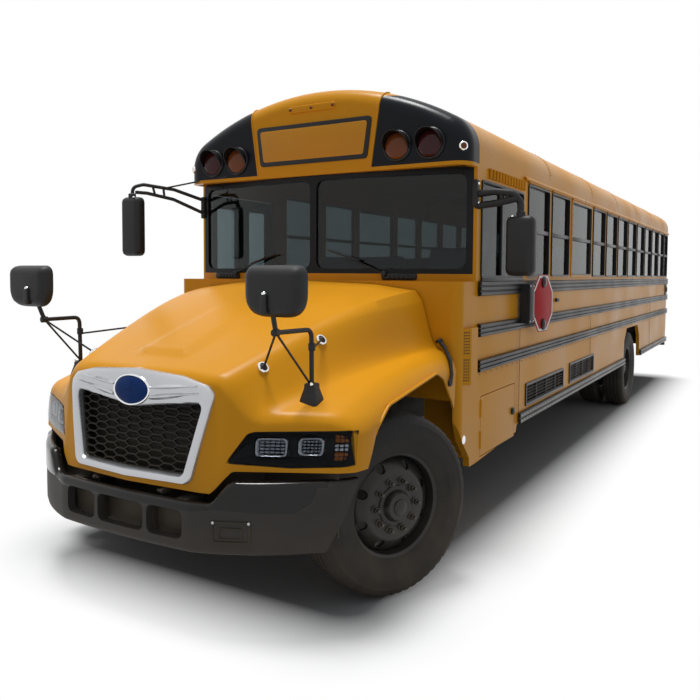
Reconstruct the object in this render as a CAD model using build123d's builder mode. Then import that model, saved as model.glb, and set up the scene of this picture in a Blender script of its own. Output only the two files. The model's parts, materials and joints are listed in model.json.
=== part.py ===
"""Conventional school bus with a tilting nose, as an assembly of separate solids.

Millimetres, +Z up, front towards -Y and the driver's side towards +X.
The origin is on the ground, midway along and across the bus.
Stations are distances behind the front axle, so station(0) is the front axle line.
"""

import os
from math import atan2, cos, degrees, radians, sin, sqrt, tan

from build123d import *

os.makedirs("parts", exist_ok=True)

# Overall sizes
body_width = 2438
wheelbase = 7112
front_overhang = 1095
rear_overhang = 3700
roof_top = 3185
floor_top = 1055
floor_thickness = 45
wall_thickness = 45
joint_gap = 0.3
door_gap = 6
knuckle_radius = 10
knuckle_length = 60

# Wheels and axles
tyre_radius = 525
tyre_half_width = 140
rim_half_width = 105
bead_radius = 286
flange_radius = 305
flange_thickness = 12
dual_spacing = 343
rear_outer_plane = 1048
stud_circle_radius = 143
stud_count = 10
hand_holes = 8
hub_radius = 112
kingpin_x = 910
kingpin_offset = 165
kingpin_radius = 22
spindle_radius = 40
parked_steer = 25.5

# Body stations and heights
cowl_front = 640
wall_front = 950
wall_rear = 10600
body_rear = 10703
cap_front = 738
skirt_bottom = 645
wall_top = 2620
cap_bottom = 2560
cowl_top = 1790
sill_height = 1827
window_head = 2574
window_pitch = 711
window_post = 84
first_window = 2014
exit_window_share = 1.35
passenger_windows = 12
pane_thickness = 6
roof_radius = 2230
roof_corner_radius = 250

# Nose
hood_rear = 625
hood_skin = 14
hood_hinge_station = -1030
hood_hinge_height = 702
hood_hinge_x = 236
hood_hinge_radius = 8
hood_hinge_boss = 12

body_half = body_width / 2
inner_half = body_half - wall_thickness
front_axle_y = front_overhang - (front_overhang + wheelbase + rear_overhang) / 2
floor_under = floor_top - floor_thickness
sides = (1, -1)


def station(distance):
    """Model Y of a distance behind the front axle."""
    return front_axle_y + distance


def cross_plane(distance):
    """Plane across the bus at a station, with X and Z as its axes. Extrusions run forward."""
    return Plane.XZ.offset(-station(distance))


def side_plane(x):
    """Lengthwise plane with Y and Z as its axes. Extrusions run to the left."""
    return Plane.YZ.offset(x)


def along(points):
    """Side view points given as (station, height)."""
    return [(station(s), z) for s, z in points]


def block(x, s, z, mode=Mode.ADD):
    """Rectangular solid between two X, two stations and two heights."""
    middle = ((x[0] + x[1]) / 2, station((s[0] + s[1]) / 2), (z[0] + z[1]) / 2)
    with Locations(middle):
        Box(x[1] - x[0], s[1] - s[0], z[1] - z[0], mode=mode)


def bar(start, end, radius, mode=Mode.ADD):
    """Round bar between two (x, station, z) points."""
    a = Vector(start[0], station(start[1]), start[2])
    b = Vector(end[0], station(end[1]), end[2])
    with Locations(Plane(origin=(a + b) / 2, z_dir=b - a)):
        Cylinder(radius, (b - a).length, mode=mode)


def knuckles(x, s, heights, fixed):
    """Hinge knuckles on a vertical line, the fixed ones below the moving ones."""
    for z in heights:
        below = ((x, s, z - knuckle_length), (x, s, z))
        above = ((x, s, z + joint_gap), (x, s, z + knuckle_length))
        clear = ((x, s, z - knuckle_length - 3), (x, s, z + joint_gap))
        if fixed:
            bar((x, s, z), (x, s, z + knuckle_length + 3), knuckle_radius + 1.5, mode=Mode.SUBTRACT)
            bar(*below, knuckle_radius)
        else:
            bar(*clear, knuckle_radius + 1.5, mode=Mode.SUBTRACT)
            bar(*above, knuckle_radius)


def save(part, name):
    part.label = name
    export_step(part, f"parts/{name}.step")


# Body section shared by the roof, the caps and the rear wall
corner_x = body_half - roof_corner_radius
roof_centre_z = roof_top - roof_radius
corner_z = roof_centre_z + sqrt((roof_radius - roof_corner_radius) ** 2 - corner_x**2)
corner_angle = degrees(atan2(corner_z - roof_centre_z, corner_x))


def body_section(inset, bottom):
    """Closed outline of the body across the bus, drawn this far inside the outer skin."""
    half = body_half - inset
    with BuildLine() as outline:
        CenterArc((corner_x, corner_z), roof_corner_radius - inset, 0, corner_angle)
        CenterArc((0, roof_centre_z), roof_radius - inset, corner_angle, 180 - 2 * corner_angle)
        CenterArc((-corner_x, corner_z), roof_corner_radius - inset, 180 - corner_angle, corner_angle)
        Polyline((-half, corner_z), (-half, bottom), (half, bottom), (half, corner_z))
    return outline.edges()


# Side windows as (first station, width), front to rear
side_windows = []
window_start = first_window
for number in range(passenger_windows):
    share = exit_window_share if number == 2 else 1.0
    span = min(window_pitch * share, wall_rear - window_start)
    side_windows.append((window_start + window_post / 2, span - window_post))
    window_start += span
driver_window = (995, 935)
driver_window_head = 2485
window_corner = 35


def draw_windows(openings, low, high, corner=window_corner):
    """Rounded openings in a side view, given as (first station, width)."""
    for start, width in openings:
        with Locations((station(start + width / 2), (low + high) / 2)):
            RectangleRounded(width, high - low, corner)


# Frame rails, cross members and hinge horns
rail_x = 392
rail_depth = 260
rail_flange = 80
rail_web = 10
rail_bottom = 640
rail_top = rail_bottom + rail_depth
rail_front = -880
rail_rear = 10420
cross_stations = (-780, 1650, 3300, 4950, 6400, 7900, 9300, 10340)
cross_depth = 150
cross_width = 90

with BuildPart() as frame_rails:
    for side in sides:
        outer = side * (rail_x + rail_flange / 2)
        inner = side * (rail_x - rail_flange / 2)
        web = outer - side * rail_web
        block(sorted((outer, web)), (rail_front, rail_rear), (rail_bottom, rail_top))
        for low in (rail_bottom, rail_top - rail_web):
            block(sorted((outer, inner)), (rail_front, rail_rear), (low, low + rail_web))
    reach = rail_x + rail_flange / 2 - rail_web
    middle = rail_bottom + rail_depth / 2
    for s in cross_stations:
        block(
            (-reach, reach),
            (s - cross_width / 2, s + cross_width / 2),
            (middle - cross_depth / 2, middle + cross_depth / 2),
        )
        block(
            (-reach, reach),
            (s - cross_width / 2 + rail_web, s + cross_width / 2),
            (middle - cross_depth / 2 + rail_web, middle + cross_depth / 2 - rail_web),
            mode=Mode.SUBTRACT,
        )
    horn = (hood_hinge_x + 9, hood_hinge_x + 29)
    horn_back = cross_stations[0] - cross_width / 2
    pin_line = (hood_hinge_station, hood_hinge_height)
    for side in sides:
        block(
            sorted((side * horn[0], side * horn[1])),
            (hood_hinge_station, horn_back),
            (hood_hinge_height - hood_hinge_boss, hood_hinge_height + hood_hinge_boss),
        )
        bar((side * horn[0], *pin_line), (side * horn[1], *pin_line), hood_hinge_boss)
        bar((side * (hood_hinge_x - 12), *pin_line), (side * (horn[0] + 5), *pin_line), hood_hinge_radius)
save(frame_rails.part, "frame_rails")

# Shackle eyes bolted to the ends of the rails
eye_radius = 22
eye_plate = 30
eye_height = 590
eye_outer = 48

with BuildPart() as tow_eyes:
    for side in sides:
        for end, reach in ((rail_front, -58), (rail_rear, 58)):
            with BuildSketch(side_plane(side * rail_x - eye_plate / 2)):
                with Locations((station(end - reach), eye_height)):
                    Circle(eye_outer)
                with Locations((station(end - reach), (eye_height + rail_bottom) / 2)):
                    Rectangle(2 * eye_outer, rail_bottom - eye_height)
                with Locations((station(end - reach), eye_height)):
                    Circle(eye_radius, mode=Mode.SUBTRACT)
            extrude(amount=eye_plate)
save(tow_eyes.part, "tow_eyes")

# Front axle beam with a dropped middle and a boss for each kingpin
beam_depth = 110
beam_width = 90
beam_web = 26
boss_radius = 48
boss_height = 150
beam_low = 400
beam_drop_x = 560

with BuildPart() as front_axle:
    top = tyre_radius + boss_height / 2 - 10
    with BuildSketch(cross_plane(beam_width / 2)):
        with BuildLine():
            right = [
                (kingpin_x, tyre_radius - 55),
                (kingpin_x, tyre_radius + 55),
                (kingpin_x - 110, tyre_radius + 45),
                (beam_drop_x, beam_low + beam_depth),
            ]
            left = [(-x, z) for x, z in reversed(right)]
            lower = [
                (-kingpin_x + 90, tyre_radius - 60),
                (-beam_drop_x - 20, beam_low),
                (beam_drop_x + 20, beam_low),
                (kingpin_x - 90, tyre_radius - 60),
            ]
            Polyline(*right, *left, *lower, close=True)
        make_face()
    extrude(amount=beam_width)
    for face in sides:
        flute = (beam_web / 2, beam_width / 2) if face > 0 else (-beam_width / 2, -beam_web / 2)
        block(
            (-beam_drop_x + 20, beam_drop_x - 20),
            flute,
            (beam_low + 22, beam_low + beam_depth - 22),
            mode=Mode.SUBTRACT,
        )
    for side in sides:
        ends = [(side * kingpin_x, 0, tyre_radius + h * boss_height / 2) for h in (-1, 1)]
        bar(*ends, boss_radius)
        bar(*ends, kingpin_radius + joint_gap, mode=Mode.SUBTRACT)
save(front_axle.part, "front_axle")

# Rear axle housing with its differential bowl, pinion nose and hub spindles
axle_tube_radius = 72
bowl_radius = 205
bowl_half_width = 130
dual_middle = rear_outer_plane - dual_spacing / 2
rear_spindle_end = dual_middle + 150

with BuildPart() as rear_axle:
    with BuildSketch(cross_plane(wheelbase)):
        with BuildLine():
            Polyline(
                (-rear_spindle_end, tyre_radius),
                (-rear_spindle_end, tyre_radius + spindle_radius),
                (-560, tyre_radius + spindle_radius),
                (-560, tyre_radius + axle_tube_radius),
                (-330, tyre_radius + axle_tube_radius),
                (-bowl_half_width, tyre_radius + bowl_radius - 25),
                (-bowl_half_width + 50, tyre_radius + bowl_radius),
                (bowl_half_width - 50, tyre_radius + bowl_radius),
                (bowl_half_width, tyre_radius + bowl_radius - 25),
                (330, tyre_radius + axle_tube_radius),
                (560, tyre_radius + axle_tube_radius),
                (560, tyre_radius + spindle_radius),
                (rear_spindle_end, tyre_radius + spindle_radius),
                (rear_spindle_end, tyre_radius),
                close=True,
            )
        make_face()
    revolve(axis=Axis((0, station(wheelbase), tyre_radius), (1, 0, 0)))
    bar((0, wheelbase - 380, tyre_radius), (0, wheelbase, tyre_radius), 70)
save(rear_axle.part, "rear_axle")

# Leaf springs as (half spacing, axle station, seat height, half length)
spring_width = 70
spring_leaves = 34
spring_table = (
    (rail_x, 0, beam_low + beam_depth, 640),
    (500, wheelbase, tyre_radius + axle_tube_radius, 720),
)
hanger_drop = 18

with BuildPart() as leaf_springs:
    for half_spacing, axle, seat, reach in spring_table:
        for side in sides:
            low = side * half_spacing - spring_width / 2
            eye = rail_bottom - hanger_drop - spring_leaves
            with BuildSketch(side_plane(low)):
                with BuildLine():
                    ends = [(station(axle + e * reach), eye) for e in (-1, 1)]
                    ThreePointArc(ends[0], (station(axle), seat), ends[1])
                    tops = [(y, z + spring_leaves) for y, z in ends]
                    Line(ends[1], tops[1])
                    ThreePointArc(tops[1], (station(axle), seat + spring_leaves), tops[0])
                    Line(tops[0], ends[0])
                make_face()
            extrude(amount=spring_width)
            for e in sides:
                block(
                    (low, low + spring_width),
                    sorted((axle + e * reach, axle + e * (reach - 90))),
                    (eye + spring_leaves / 2, rail_bottom),
                )
            if half_spacing > rail_x:
                for e in sides:
                    block(
                        sorted((side * (rail_x + rail_flange / 2), side * (half_spacing + spring_width / 2))),
                        sorted((axle + e * reach, axle + e * (reach - 90))),
                        (eye + spring_leaves / 2, rail_bottom + 80),
                    )
save(leaf_springs.part, "leaf_springs")

# Engine block, with the radiator ahead of it on the rails
with BuildPart() as engine:
    block((-330, 330), (-560, 600), (beam_low + beam_depth + 60, 1330))
    with BuildSketch(cross_plane(-700)):
        with Locations((0, 1010)):
            RectangleRounded(780, 2 * (1010 - rail_top), 30)
    extrude(amount=80)
save(engine.part, "engine")

# Gearbox and two lengths of propeller shaft below the cross members
shaft_radius = 50
gearbox_rear = 1560
shaft_points = ((0, gearbox_rear, 640), (0, 4950, 612), (0, wheelbase - 384, tyre_radius))

with BuildPart() as driveline:
    block((-210, 210), (600, gearbox_rear), (560, floor_under - 80))
    for first, second in zip(shaft_points, shaft_points[1:]):
        bar(first, second, shaft_radius)
    block((-60, 60), (4950 - 25, 4950 + 25), (612, rail_bottom + (rail_depth - cross_depth) / 2))
save(driveline.part, "driveline")

# Fuel tank between the rails and its straps
tank_top = rail_top - 60
with BuildPart() as fuel_tank:
    with BuildSketch(cross_plane(9210)):
        with Locations((0, 690)):
            RectangleRounded(2 * (rail_x - rail_flange / 2) - 20, 2 * (tank_top - 690), 50)
    extrude(amount=1150)
    for s in (8250, 9000):
        reach = rail_x + rail_flange / 2 - rail_web
        block((-reach, reach), (s - 40, s + 40), (rail_bottom + rail_web, rail_bottom + rail_web + 12))
save(fuel_tank.part, "fuel_tank")

# Exhaust under the right side, with its muffler and tail pipe
pipe_radius = 50
muffler_radius = 130
pipe_x = -620
pipe_points = ((-300, 1500, 575), (-300, 1900, 575), (pipe_x, 2300, 575), (pipe_x, 2520, 690))
with BuildPart() as exhaust:
    bar((pipe_x, 2500, 690), (pipe_x, 3500, 690), muffler_radius)
    bar((pipe_x, 3500, 690), (pipe_x, 6360, 690), pipe_radius)
    for first, second in zip(pipe_points, pipe_points[1:]):
        bar(first, second, pipe_radius)
        with Locations((first[0], station(first[1]), first[2])):
            Sphere(pipe_radius)
    for s in (2600, 3400, 5000, 6300):
        block((pipe_x - 15, -rail_x - rail_flange / 2), (s - 20, s + 20), (690, 720))
save(exhaust.part, "exhaust")

# Floor with cross sills, rear wheel boxes and the entrance steps
wheel_box_sheet = 12
wheel_box_top = 1200
wheel_box_half = 612
wheel_box_inner = 535
sill_stations = (2300, 3000, 3700, 4400, 5100, 5800, 6400, 7850, 8550, 9250, 9950)
step_heights = (430, 640, 850)
step_edge_x = 540
step_depth = 211
step_sheet = 25
doorway = (981, 1853)
step_bottom = step_heights[0] - step_sheet

with BuildPart() as floor_pan:
    block((-inner_half, inner_half), (cowl_front + wall_thickness, wall_rear), (floor_under, floor_top))
    block((-inner_half, -step_edge_x), (1000, 1835), (floor_under, floor_top), mode=Mode.SUBTRACT)
    with BuildSketch(cross_plane(1835)):
        with BuildLine():
            upper = [(-inner_half, step_heights[0])]
            edge = step_edge_x + step_depth * (len(step_heights) - 1)
            for low, high in zip(step_heights, (*step_heights[1:], floor_top)):
                upper += [(-edge, low), (-edge, high)]
                edge -= step_depth
            lower = [(x + step_sheet, z - step_sheet) for x, z in upper[1:-1]]
            lower = [(-inner_half, step_bottom), *lower, (upper[-1][0] + step_sheet, floor_top)]
            Polyline(*upper, *reversed(lower), close=True)
        make_face()
    extrude(amount=835)
    for s in (1000 - step_sheet + 10, 1835):
        block((-inner_half, -step_edge_x + step_sheet), (s, s + 15), (step_bottom, floor_top))
    for s in sill_stations:
        block((-1100, 1100), (s - 30, s + 30), (rail_top, floor_under))
    for side in sides:
        box = (wheelbase - wheel_box_half, wheelbase + wheel_box_half)
        block(
            sorted((side * wheel_box_inner, side * inner_half)),
            box,
            (floor_under, wheel_box_top),
        )
        block(
            sorted((side * (wheel_box_inner + wheel_box_sheet), side * inner_half)),
            (box[0] + wheel_box_sheet, box[1] - wheel_box_sheet),
            (floor_under, wheel_box_top - wheel_box_sheet),
            mode=Mode.SUBTRACT,
        )
save(floor_pan.part, "floor_pan")

# Side walls, with the battery compartment behind the left one
battery_door = (1040, 1800)
battery_heights = (560, 990)
battery_sheet = 15
battery_inner_x = 800
battery_knuckles = (680, 900)
battery_hinge = battery_door[0] + door_gap / 2
battery_bottom = 536
compartment_rear = 1872
rear_arch = ((-640, 600), (-600, 960), (-440, 1120), (440, 1120), (600, 960), (640, 600))
skirt_openings = ((2075, 1205, 757, 945), (3516, 1085, 760, 963))


with BuildPart() as side_wall_left:
    with BuildSketch(side_plane(inner_half)):
        with BuildLine():
            Polyline(
                *along(
                    (
                        (wall_front, battery_bottom),
                        (compartment_rear - 30, battery_bottom + 50),
                        (compartment_rear, skirt_bottom),
                        (wall_rear, skirt_bottom),
                        (wall_rear, wall_top),
                        (wall_front, wall_top),
                    )
                ),
                close=True,
            )
        make_face()
    extrude(amount=wall_thickness)
    block(
        (battery_inner_x, inner_half),
        (battery_door[0] - 20, battery_door[1] + 20),
        (battery_bottom + 4, floor_under - 4),
    )
    block(
        (battery_inner_x + battery_sheet, body_half),
        (battery_door[0], battery_door[1]),
        battery_heights,
        mode=Mode.SUBTRACT,
    )
    with BuildSketch(side_plane(inner_half)):
        draw_windows(side_windows, sill_height, window_head)
        draw_windows([driver_window], sill_height - 15, driver_window_head)
        for start, length, low, high in skirt_openings:
            with Locations((station(start + length / 2), (low + high) / 2)):
                Rectangle(length, high - low)
        with BuildLine():
            Polyline(*along([(wheelbase + s, z) for s, z in rear_arch]), close=True)
        make_face()
    extrude(amount=wall_thickness, mode=Mode.SUBTRACT)
    knuckles(body_half, battery_hinge, battery_knuckles, True)
save(side_wall_left.part, "side_wall_left")

right_wall_front = 1900
with BuildPart() as side_wall_right:
    block(
        (-body_half, -inner_half),
        (right_wall_front, wall_rear),
        (skirt_bottom, wall_top),
    )
    with BuildSketch(side_plane(-body_half)):
        draw_windows(side_windows, sill_height, window_head)
        with BuildLine():
            Polyline(*along([(wheelbase + s, z) for s, z in rear_arch]), close=True)
        make_face()
    extrude(amount=wall_thickness, mode=Mode.SUBTRACT)
save(side_wall_right.part, "side_wall_right")

# Posts and header round the entrance
entrance_head = 2500
entrance_knuckles = (700, 1500, 2300)
entrance_hinges = (doorway[0] + door_gap / 2, doorway[1] - door_gap / 2)
with BuildPart() as entrance_frame:
    block((-body_half, -inner_half), (wall_front, right_wall_front), (step_bottom, wall_top))
    block((-body_half, -inner_half), doorway, (step_bottom, entrance_head), mode=Mode.SUBTRACT)
    for s in entrance_hinges:
        knuckles(-body_half, s, entrance_knuckles, True)
save(entrance_frame.part, "entrance_frame")

# Roof shell between the two end caps
with BuildPart() as roof:
    with BuildSketch(cross_plane(wall_rear)):
        make_face(body_section(0, wall_top))
    extrude(amount=wall_rear - wall_front)
    with BuildSketch(cross_plane(wall_rear)):
        make_face(body_section(wall_thickness, wall_top))
    extrude(amount=wall_rear - wall_front, mode=Mode.SUBTRACT)
save(roof.part, "roof")

# Front roof cap over the windshield
cap_round = 118
cap_wall = 60
with BuildPart() as front_cap:
    with BuildSketch(cross_plane(wall_front)):
        make_face(body_section(0, cap_bottom))
    extrude(amount=wall_front - cap_front)
    front_face = front_cap.faces().sort_by(Axis.Y)[0]
    low_edges = front_face.edges().sort_by(Axis.Z)[:1]
    fillet([edge for edge in front_face.edges() if edge not in low_edges], cap_round)
    with BuildSketch(cross_plane(wall_front)):
        make_face(body_section(wall_thickness, cap_bottom))
    extrude(amount=wall_front - cap_front - cap_wall, mode=Mode.SUBTRACT)
save(front_cap.part, "front_cap")

# Windshield frame, curved in plan, with two openings and their panes
screen_front = 757
screen_end = 920
screen_depth = 60
screen_low = 1875
screen_high = 2522
screen_inner_x = 28
screen_outer_x = 1150
screen_corner = 60
screen_radius = (body_half**2 + (screen_end - screen_front) ** 2) / (2 * (screen_end - screen_front))


def screen_band(front, rear):
    """Plan band of a curved screen between two depths behind its outer face."""
    with BuildLine() as band:
        ends = [(side * body_half, station(screen_end + front)) for side in sides]
        ThreePointArc(ends[0], (0, station(screen_front + front)), ends[1])
        backs = [(side * body_half, station(screen_end + rear)) for side in sides]
        Line(ends[1], backs[1])
        ThreePointArc(backs[1], (0, station(screen_front + rear)), backs[0])
        Line(backs[0], ends[0])
    return band.edges()


def draw_screen_openings():
    """The two windshield openings seen from the front."""
    for side in sides:
        with Locations((side * (screen_inner_x + screen_outer_x) / 2, (screen_low + screen_high) / 2)):
            RectangleRounded(screen_outer_x - screen_inner_x, screen_high - screen_low, screen_corner)


with BuildPart() as windshield_frame:
    with BuildSketch(Plane.XY.offset(cowl_top)):
        make_face(screen_band(0, screen_depth))
    extrude(amount=cap_bottom - cowl_top)
    for side in sides:
        block(
            sorted((side * inner_half, side * body_half)),
            (screen_end, wall_front),
            (cowl_top, cap_bottom),
        )
    block((-body_half, body_half), (wall_front, wall_front + 100), (cowl_top, cap_bottom), mode=Mode.SUBTRACT)
    with BuildSketch(cross_plane(wall_front)):
        draw_screen_openings()
    extrude(amount=400, mode=Mode.SUBTRACT)
save(windshield_frame.part, "windshield_frame")

glass_inset = 14
with BuildPart() as windshield:
    with BuildSketch(Plane.XY.offset(cowl_top)):
        make_face(screen_band(glass_inset, glass_inset + pane_thickness))
    extrude(amount=cap_bottom - cowl_top)
    with BuildSketch(cross_plane(wall_front)):
        draw_screen_openings()
    extrude(amount=400, mode=Mode.INTERSECT)
save(windshield.part, "windshield")

# Cowl between the nose and the cabin, with the rear half of the front wheel arches
cowl_arch = ((500, 400), (860, 400), (835, 600), (703, 738), (640, 880), (600, 960), (500, 960))
vent_plan = ((1180, 655), (1260, 748), (1260, 864), (1210, 872))
vent_heights = (1110, 1484)
cowl_round = 70
with BuildPart() as cowl:
    block((-body_half, body_half), (cowl_front, wall_front), (battery_bottom, cowl_top))
    fillet(cowl.edges().filter_by(Axis.Z).group_by(Axis.Y)[0], cowl_round)
    block(
        (-inner_half, inner_half),
        (cowl_front + wall_thickness, wall_front),
        (battery_bottom, cowl_top - wall_thickness),
        mode=Mode.SUBTRACT,
    )
    block((-inner_half, inner_half), (cowl_front, wall_front), (battery_bottom, floor_under), mode=Mode.SUBTRACT)
    with BuildSketch(side_plane(-body_half)):
        with BuildLine():
            Polyline(*along(cowl_arch), close=True)
        make_face()
    extrude(amount=2 * body_half, mode=Mode.SUBTRACT)
    with BuildSketch(Plane.XY.offset(vent_heights[0])):
        with BuildLine():
            Polyline(*[(x, station(s)) for x, s in vent_plan], close=True)
        make_face()
    extrude(amount=vent_heights[1] - vent_heights[0])
save(cowl.part, "cowl")

# Rear wall with the emergency doorway and two windows
rear_round = 70
rear_low = 820
rear_door_half = 335
rear_door_heights = (floor_top, 2400)
rear_window_x = (440, 1060)
rear_window_heights = (1830, 2450)
rear_depth = body_rear - wall_rear
rear_knuckles = (1250, 1700, 2250)
rear_hinge_x = -rear_door_half + door_gap / 2

with BuildPart() as rear_wall:
    with BuildSketch(cross_plane(body_rear)):
        make_face(body_section(0, rear_low))
    extrude(amount=rear_depth)
    back_face = rear_wall.faces().sort_by(Axis.Y)[-1]
    low_edges = back_face.edges().sort_by(Axis.Z)[:1]
    fillet([edge for edge in back_face.edges() if edge not in low_edges], rear_round)
    with BuildSketch(cross_plane(body_rear - wall_thickness)):
        make_face(body_section(wall_thickness, rear_low))
    extrude(amount=rear_depth - wall_thickness, mode=Mode.SUBTRACT)
    block(
        (-rear_door_half, rear_door_half),
        (wall_rear, body_rear),
        rear_door_heights,
        mode=Mode.SUBTRACT,
    )
    with BuildSketch(cross_plane(body_rear)):
        for side in sides:
            with Locations((side * sum(rear_window_x) / 2, sum(rear_window_heights) / 2)):
                RectangleRounded(
                    rear_window_x[1] - rear_window_x[0],
                    rear_window_heights[1] - rear_window_heights[0],
                    window_corner,
                )
    extrude(amount=rear_depth, mode=Mode.SUBTRACT)
    knuckles(rear_hinge_x, body_rear, rear_knuckles, True)
save(rear_wall.part, "rear_wall")

# Cabin panes, one to an opening
pane_depth = 14
with BuildPart() as cabin_glass:
    with BuildSketch(side_plane(body_half - pane_depth - pane_thickness)):
        draw_windows(side_windows, sill_height, window_head)
        draw_windows([driver_window], sill_height - 15, driver_window_head)
    extrude(amount=pane_thickness)
    with BuildSketch(side_plane(pane_depth - body_half)):
        draw_windows(side_windows, sill_height, window_head)
    extrude(amount=pane_thickness)
    with BuildSketch(cross_plane(body_rear - pane_depth)):
        for side in sides:
            with Locations((side * sum(rear_window_x) / 2, sum(rear_window_heights) / 2)):
                RectangleRounded(
                    rear_window_x[1] - rear_window_x[0],
                    rear_window_heights[1] - rear_window_heights[0],
                    window_corner,
                )
    extrude(amount=pane_thickness)
save(cabin_glass.part, "cabin_glass")

# Ribbed rub rails as (low, high, first station on the left, first on the right)
rail_proud = 20
rail_groove = 7
rub_rail_table = (
    (1689, 1793, wall_front, right_wall_front),
    (1409, 1500, wall_front, right_wall_front),
    (1166, 1251, wall_front, right_wall_front),
)
skirt_rail = (skirt_bottom, skirt_bottom + 88)
arch_reach = 645

with BuildPart() as rub_rails:
    runs = []
    for low, high, left_start, right_start in rub_rail_table:
        runs.append((1, low, high, left_start, wall_rear))
        runs.append((-1, low, high, right_start, wall_rear))
    for side, start in ((1, compartment_rear + 10), (-1, right_wall_front)):
        runs.append((side, *skirt_rail, start, wheelbase - arch_reach))
        runs.append((side, *skirt_rail, wheelbase + arch_reach, wall_rear))
    for side, low, high, start, end in runs:
        block(sorted((side * body_half, side * (body_half + rail_proud))), (start, end), (low, high))
        for share in (0.3, 0.7):
            middle = low + share * (high - low)
            outer = body_half + rail_proud
            block(
                sorted((side * (outer - rail_groove), side * outer)),
                (start, end),
                (middle - 8, middle + 8),
                mode=Mode.SUBTRACT,
            )
save(rub_rails.part, "rub_rails")

# Front bumper, swept back at its ends, with three air openings
bumper_low = 430
bumper_mid_top = 685
bumper_end_top = 800
bumper_outer = ((-480, -1074), (0, -1095), (480, -1074), (745, -965), (1040, -748), (1150, -650), (1200, -540))
bumper_inner = ((-462, -1016), (0, -1038), (462, -1016), (706, -914), (996, -702), (1092, -614), (1138, -540))
bumper_holes = ((0, 342), (315, 236), (-315, 236))
hole_heights = (490, 642)


def bumper_curve(points):
    """Plan curve of the bumper from its left end to its right end."""
    first = [(x, station(s)) for x, s in points]
    mirrored = [(-x, y) for x, y in first]
    ThreePointArc(first[6], first[5], first[4])
    ThreePointArc(first[4], first[3], first[2])
    ThreePointArc(first[2], first[1], first[0])
    ThreePointArc(mirrored[2], mirrored[3], mirrored[4])
    ThreePointArc(mirrored[4], mirrored[5], mirrored[6])
    return first[6], mirrored[6]


with BuildPart() as front_bumper:
    with BuildSketch(Plane.XY.offset(bumper_low)):
        with BuildLine():
            outer_left, outer_right = bumper_curve(bumper_outer)
            inner_left, inner_right = bumper_curve(bumper_inner)
            Line(outer_left, inner_left)
            Line(outer_right, inner_right)
        make_face()
    extrude(amount=bumper_end_top - bumper_low)
    with BuildSketch(cross_plane(-500)):
        with BuildLine():
            Polyline(
                (-640, bumper_end_top + 10),
                (-560, bumper_mid_top),
                (560, bumper_mid_top),
                (640, bumper_end_top + 10),
                close=True,
            )
        make_face()
        for x, width in bumper_holes:
            with Locations((x, sum(hole_heights) / 2)):
                RectangleRounded(width, hole_heights[1] - hole_heights[0], 45)
    extrude(amount=800, mode=Mode.SUBTRACT)
    with BuildSketch(side_plane(-body_half)):
        with BuildLine():
            Polyline(*along(((-500, 860), (-556, 860), (-730, bumper_low), (-730, 380), (-500, 380))), close=True)
        make_face()
    extrude(amount=2 * body_half, mode=Mode.SUBTRACT)
    for side in sides:
        reach = sorted((side * (rail_x - 36), side * (rail_x + 36)))
        block(reach, (-1032, rail_front), (600, bumper_mid_top))
save(front_bumper.part, "front_bumper")

# Rear bumper with two brackets to the rails
rear_bumper_low = 560
rear_bumper_high = 805
rear_bumper_half = 1195
rear_end = wheelbase + rear_overhang
with BuildPart() as rear_bumper:
    with BuildSketch(side_plane(-rear_bumper_half)):
        with BuildLine():
            Polyline(
                *along(
                    (
                        (body_rear + 4, rear_bumper_low),
                        (rear_end - 15, rear_bumper_low),
                        (rear_end, rear_bumper_low + 20),
                        (rear_end, 650),
                        (rear_end - 12, 662),
                        (rear_end - 12, 703),
                        (rear_end, 715),
                        (rear_end, rear_bumper_high - 20),
                        (rear_end - 15, rear_bumper_high),
                        (body_rear + 4, rear_bumper_high),
                    )
                ),
                close=True,
            )
        make_face()
    extrude(amount=2 * rear_bumper_half)
    for side in sides:
        reach = sorted((side * (rail_x - 36), side * (rail_x + 36)))
        block(reach, (rail_rear, body_rear + 10), (rail_bottom + 30, rail_bottom + 100))
save(rear_bumper.part, "rear_bumper")

# Nose sections as (station, crown z, shoulder x and z, valley x and z, crest x and z, flank x and z)
nose_sections = (
    (-1110, 1268, 530, 1222, 610, 985, 1075, 945, 1205, 880),
    (-650, 1425, 632, 1403, 800, 1180, 1095, 1120, 1205, 1030),
    (-150, 1598, 770, 1572, 905, 1285, 1108, 1242, 1205, 1150),
    (hood_rear, 1786, 955, 1722, 1025, 1368, 1128, 1342, 1205, 1252),
)
nose_base = 640
# Plan outline of the nose as (half width, station), with the set back per metre of height
nose_plan = ((0, -1040), (480, -1006), (600, -980), (1120, -706), (1186, -648), (1206, -515))
nose_lean = 0.11
nose_lean_from = 700
nose_radii = (70, 60, 60, 55)
plan_radii = (130, 110, 70, 90)


def rounded(points, radii):
    """Open run of lines through the points, with tangent arcs of these radii at the inner ones."""
    runs = []
    start = Vector(*points[0])
    for before, corner, after, radius in zip(points, points[1:], points[2:], radii):
        here = Vector(*corner)
        back = (Vector(*before) - here).normalized()
        ahead = (Vector(*after) - here).normalized()
        half_angle = radians(back.get_angle(ahead)) / 2
        reach = radius / tan(half_angle)
        middle = here + (back + ahead).normalized() * (radius / sin(half_angle) - radius)
        runs.append(Line(start, here + back * reach))
        runs.append(ThreePointArc(here + back * reach, middle, here + ahead * reach))
        start = here + ahead * reach
    runs.append(Line(start, Vector(*points[-1])))
    return runs


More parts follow.
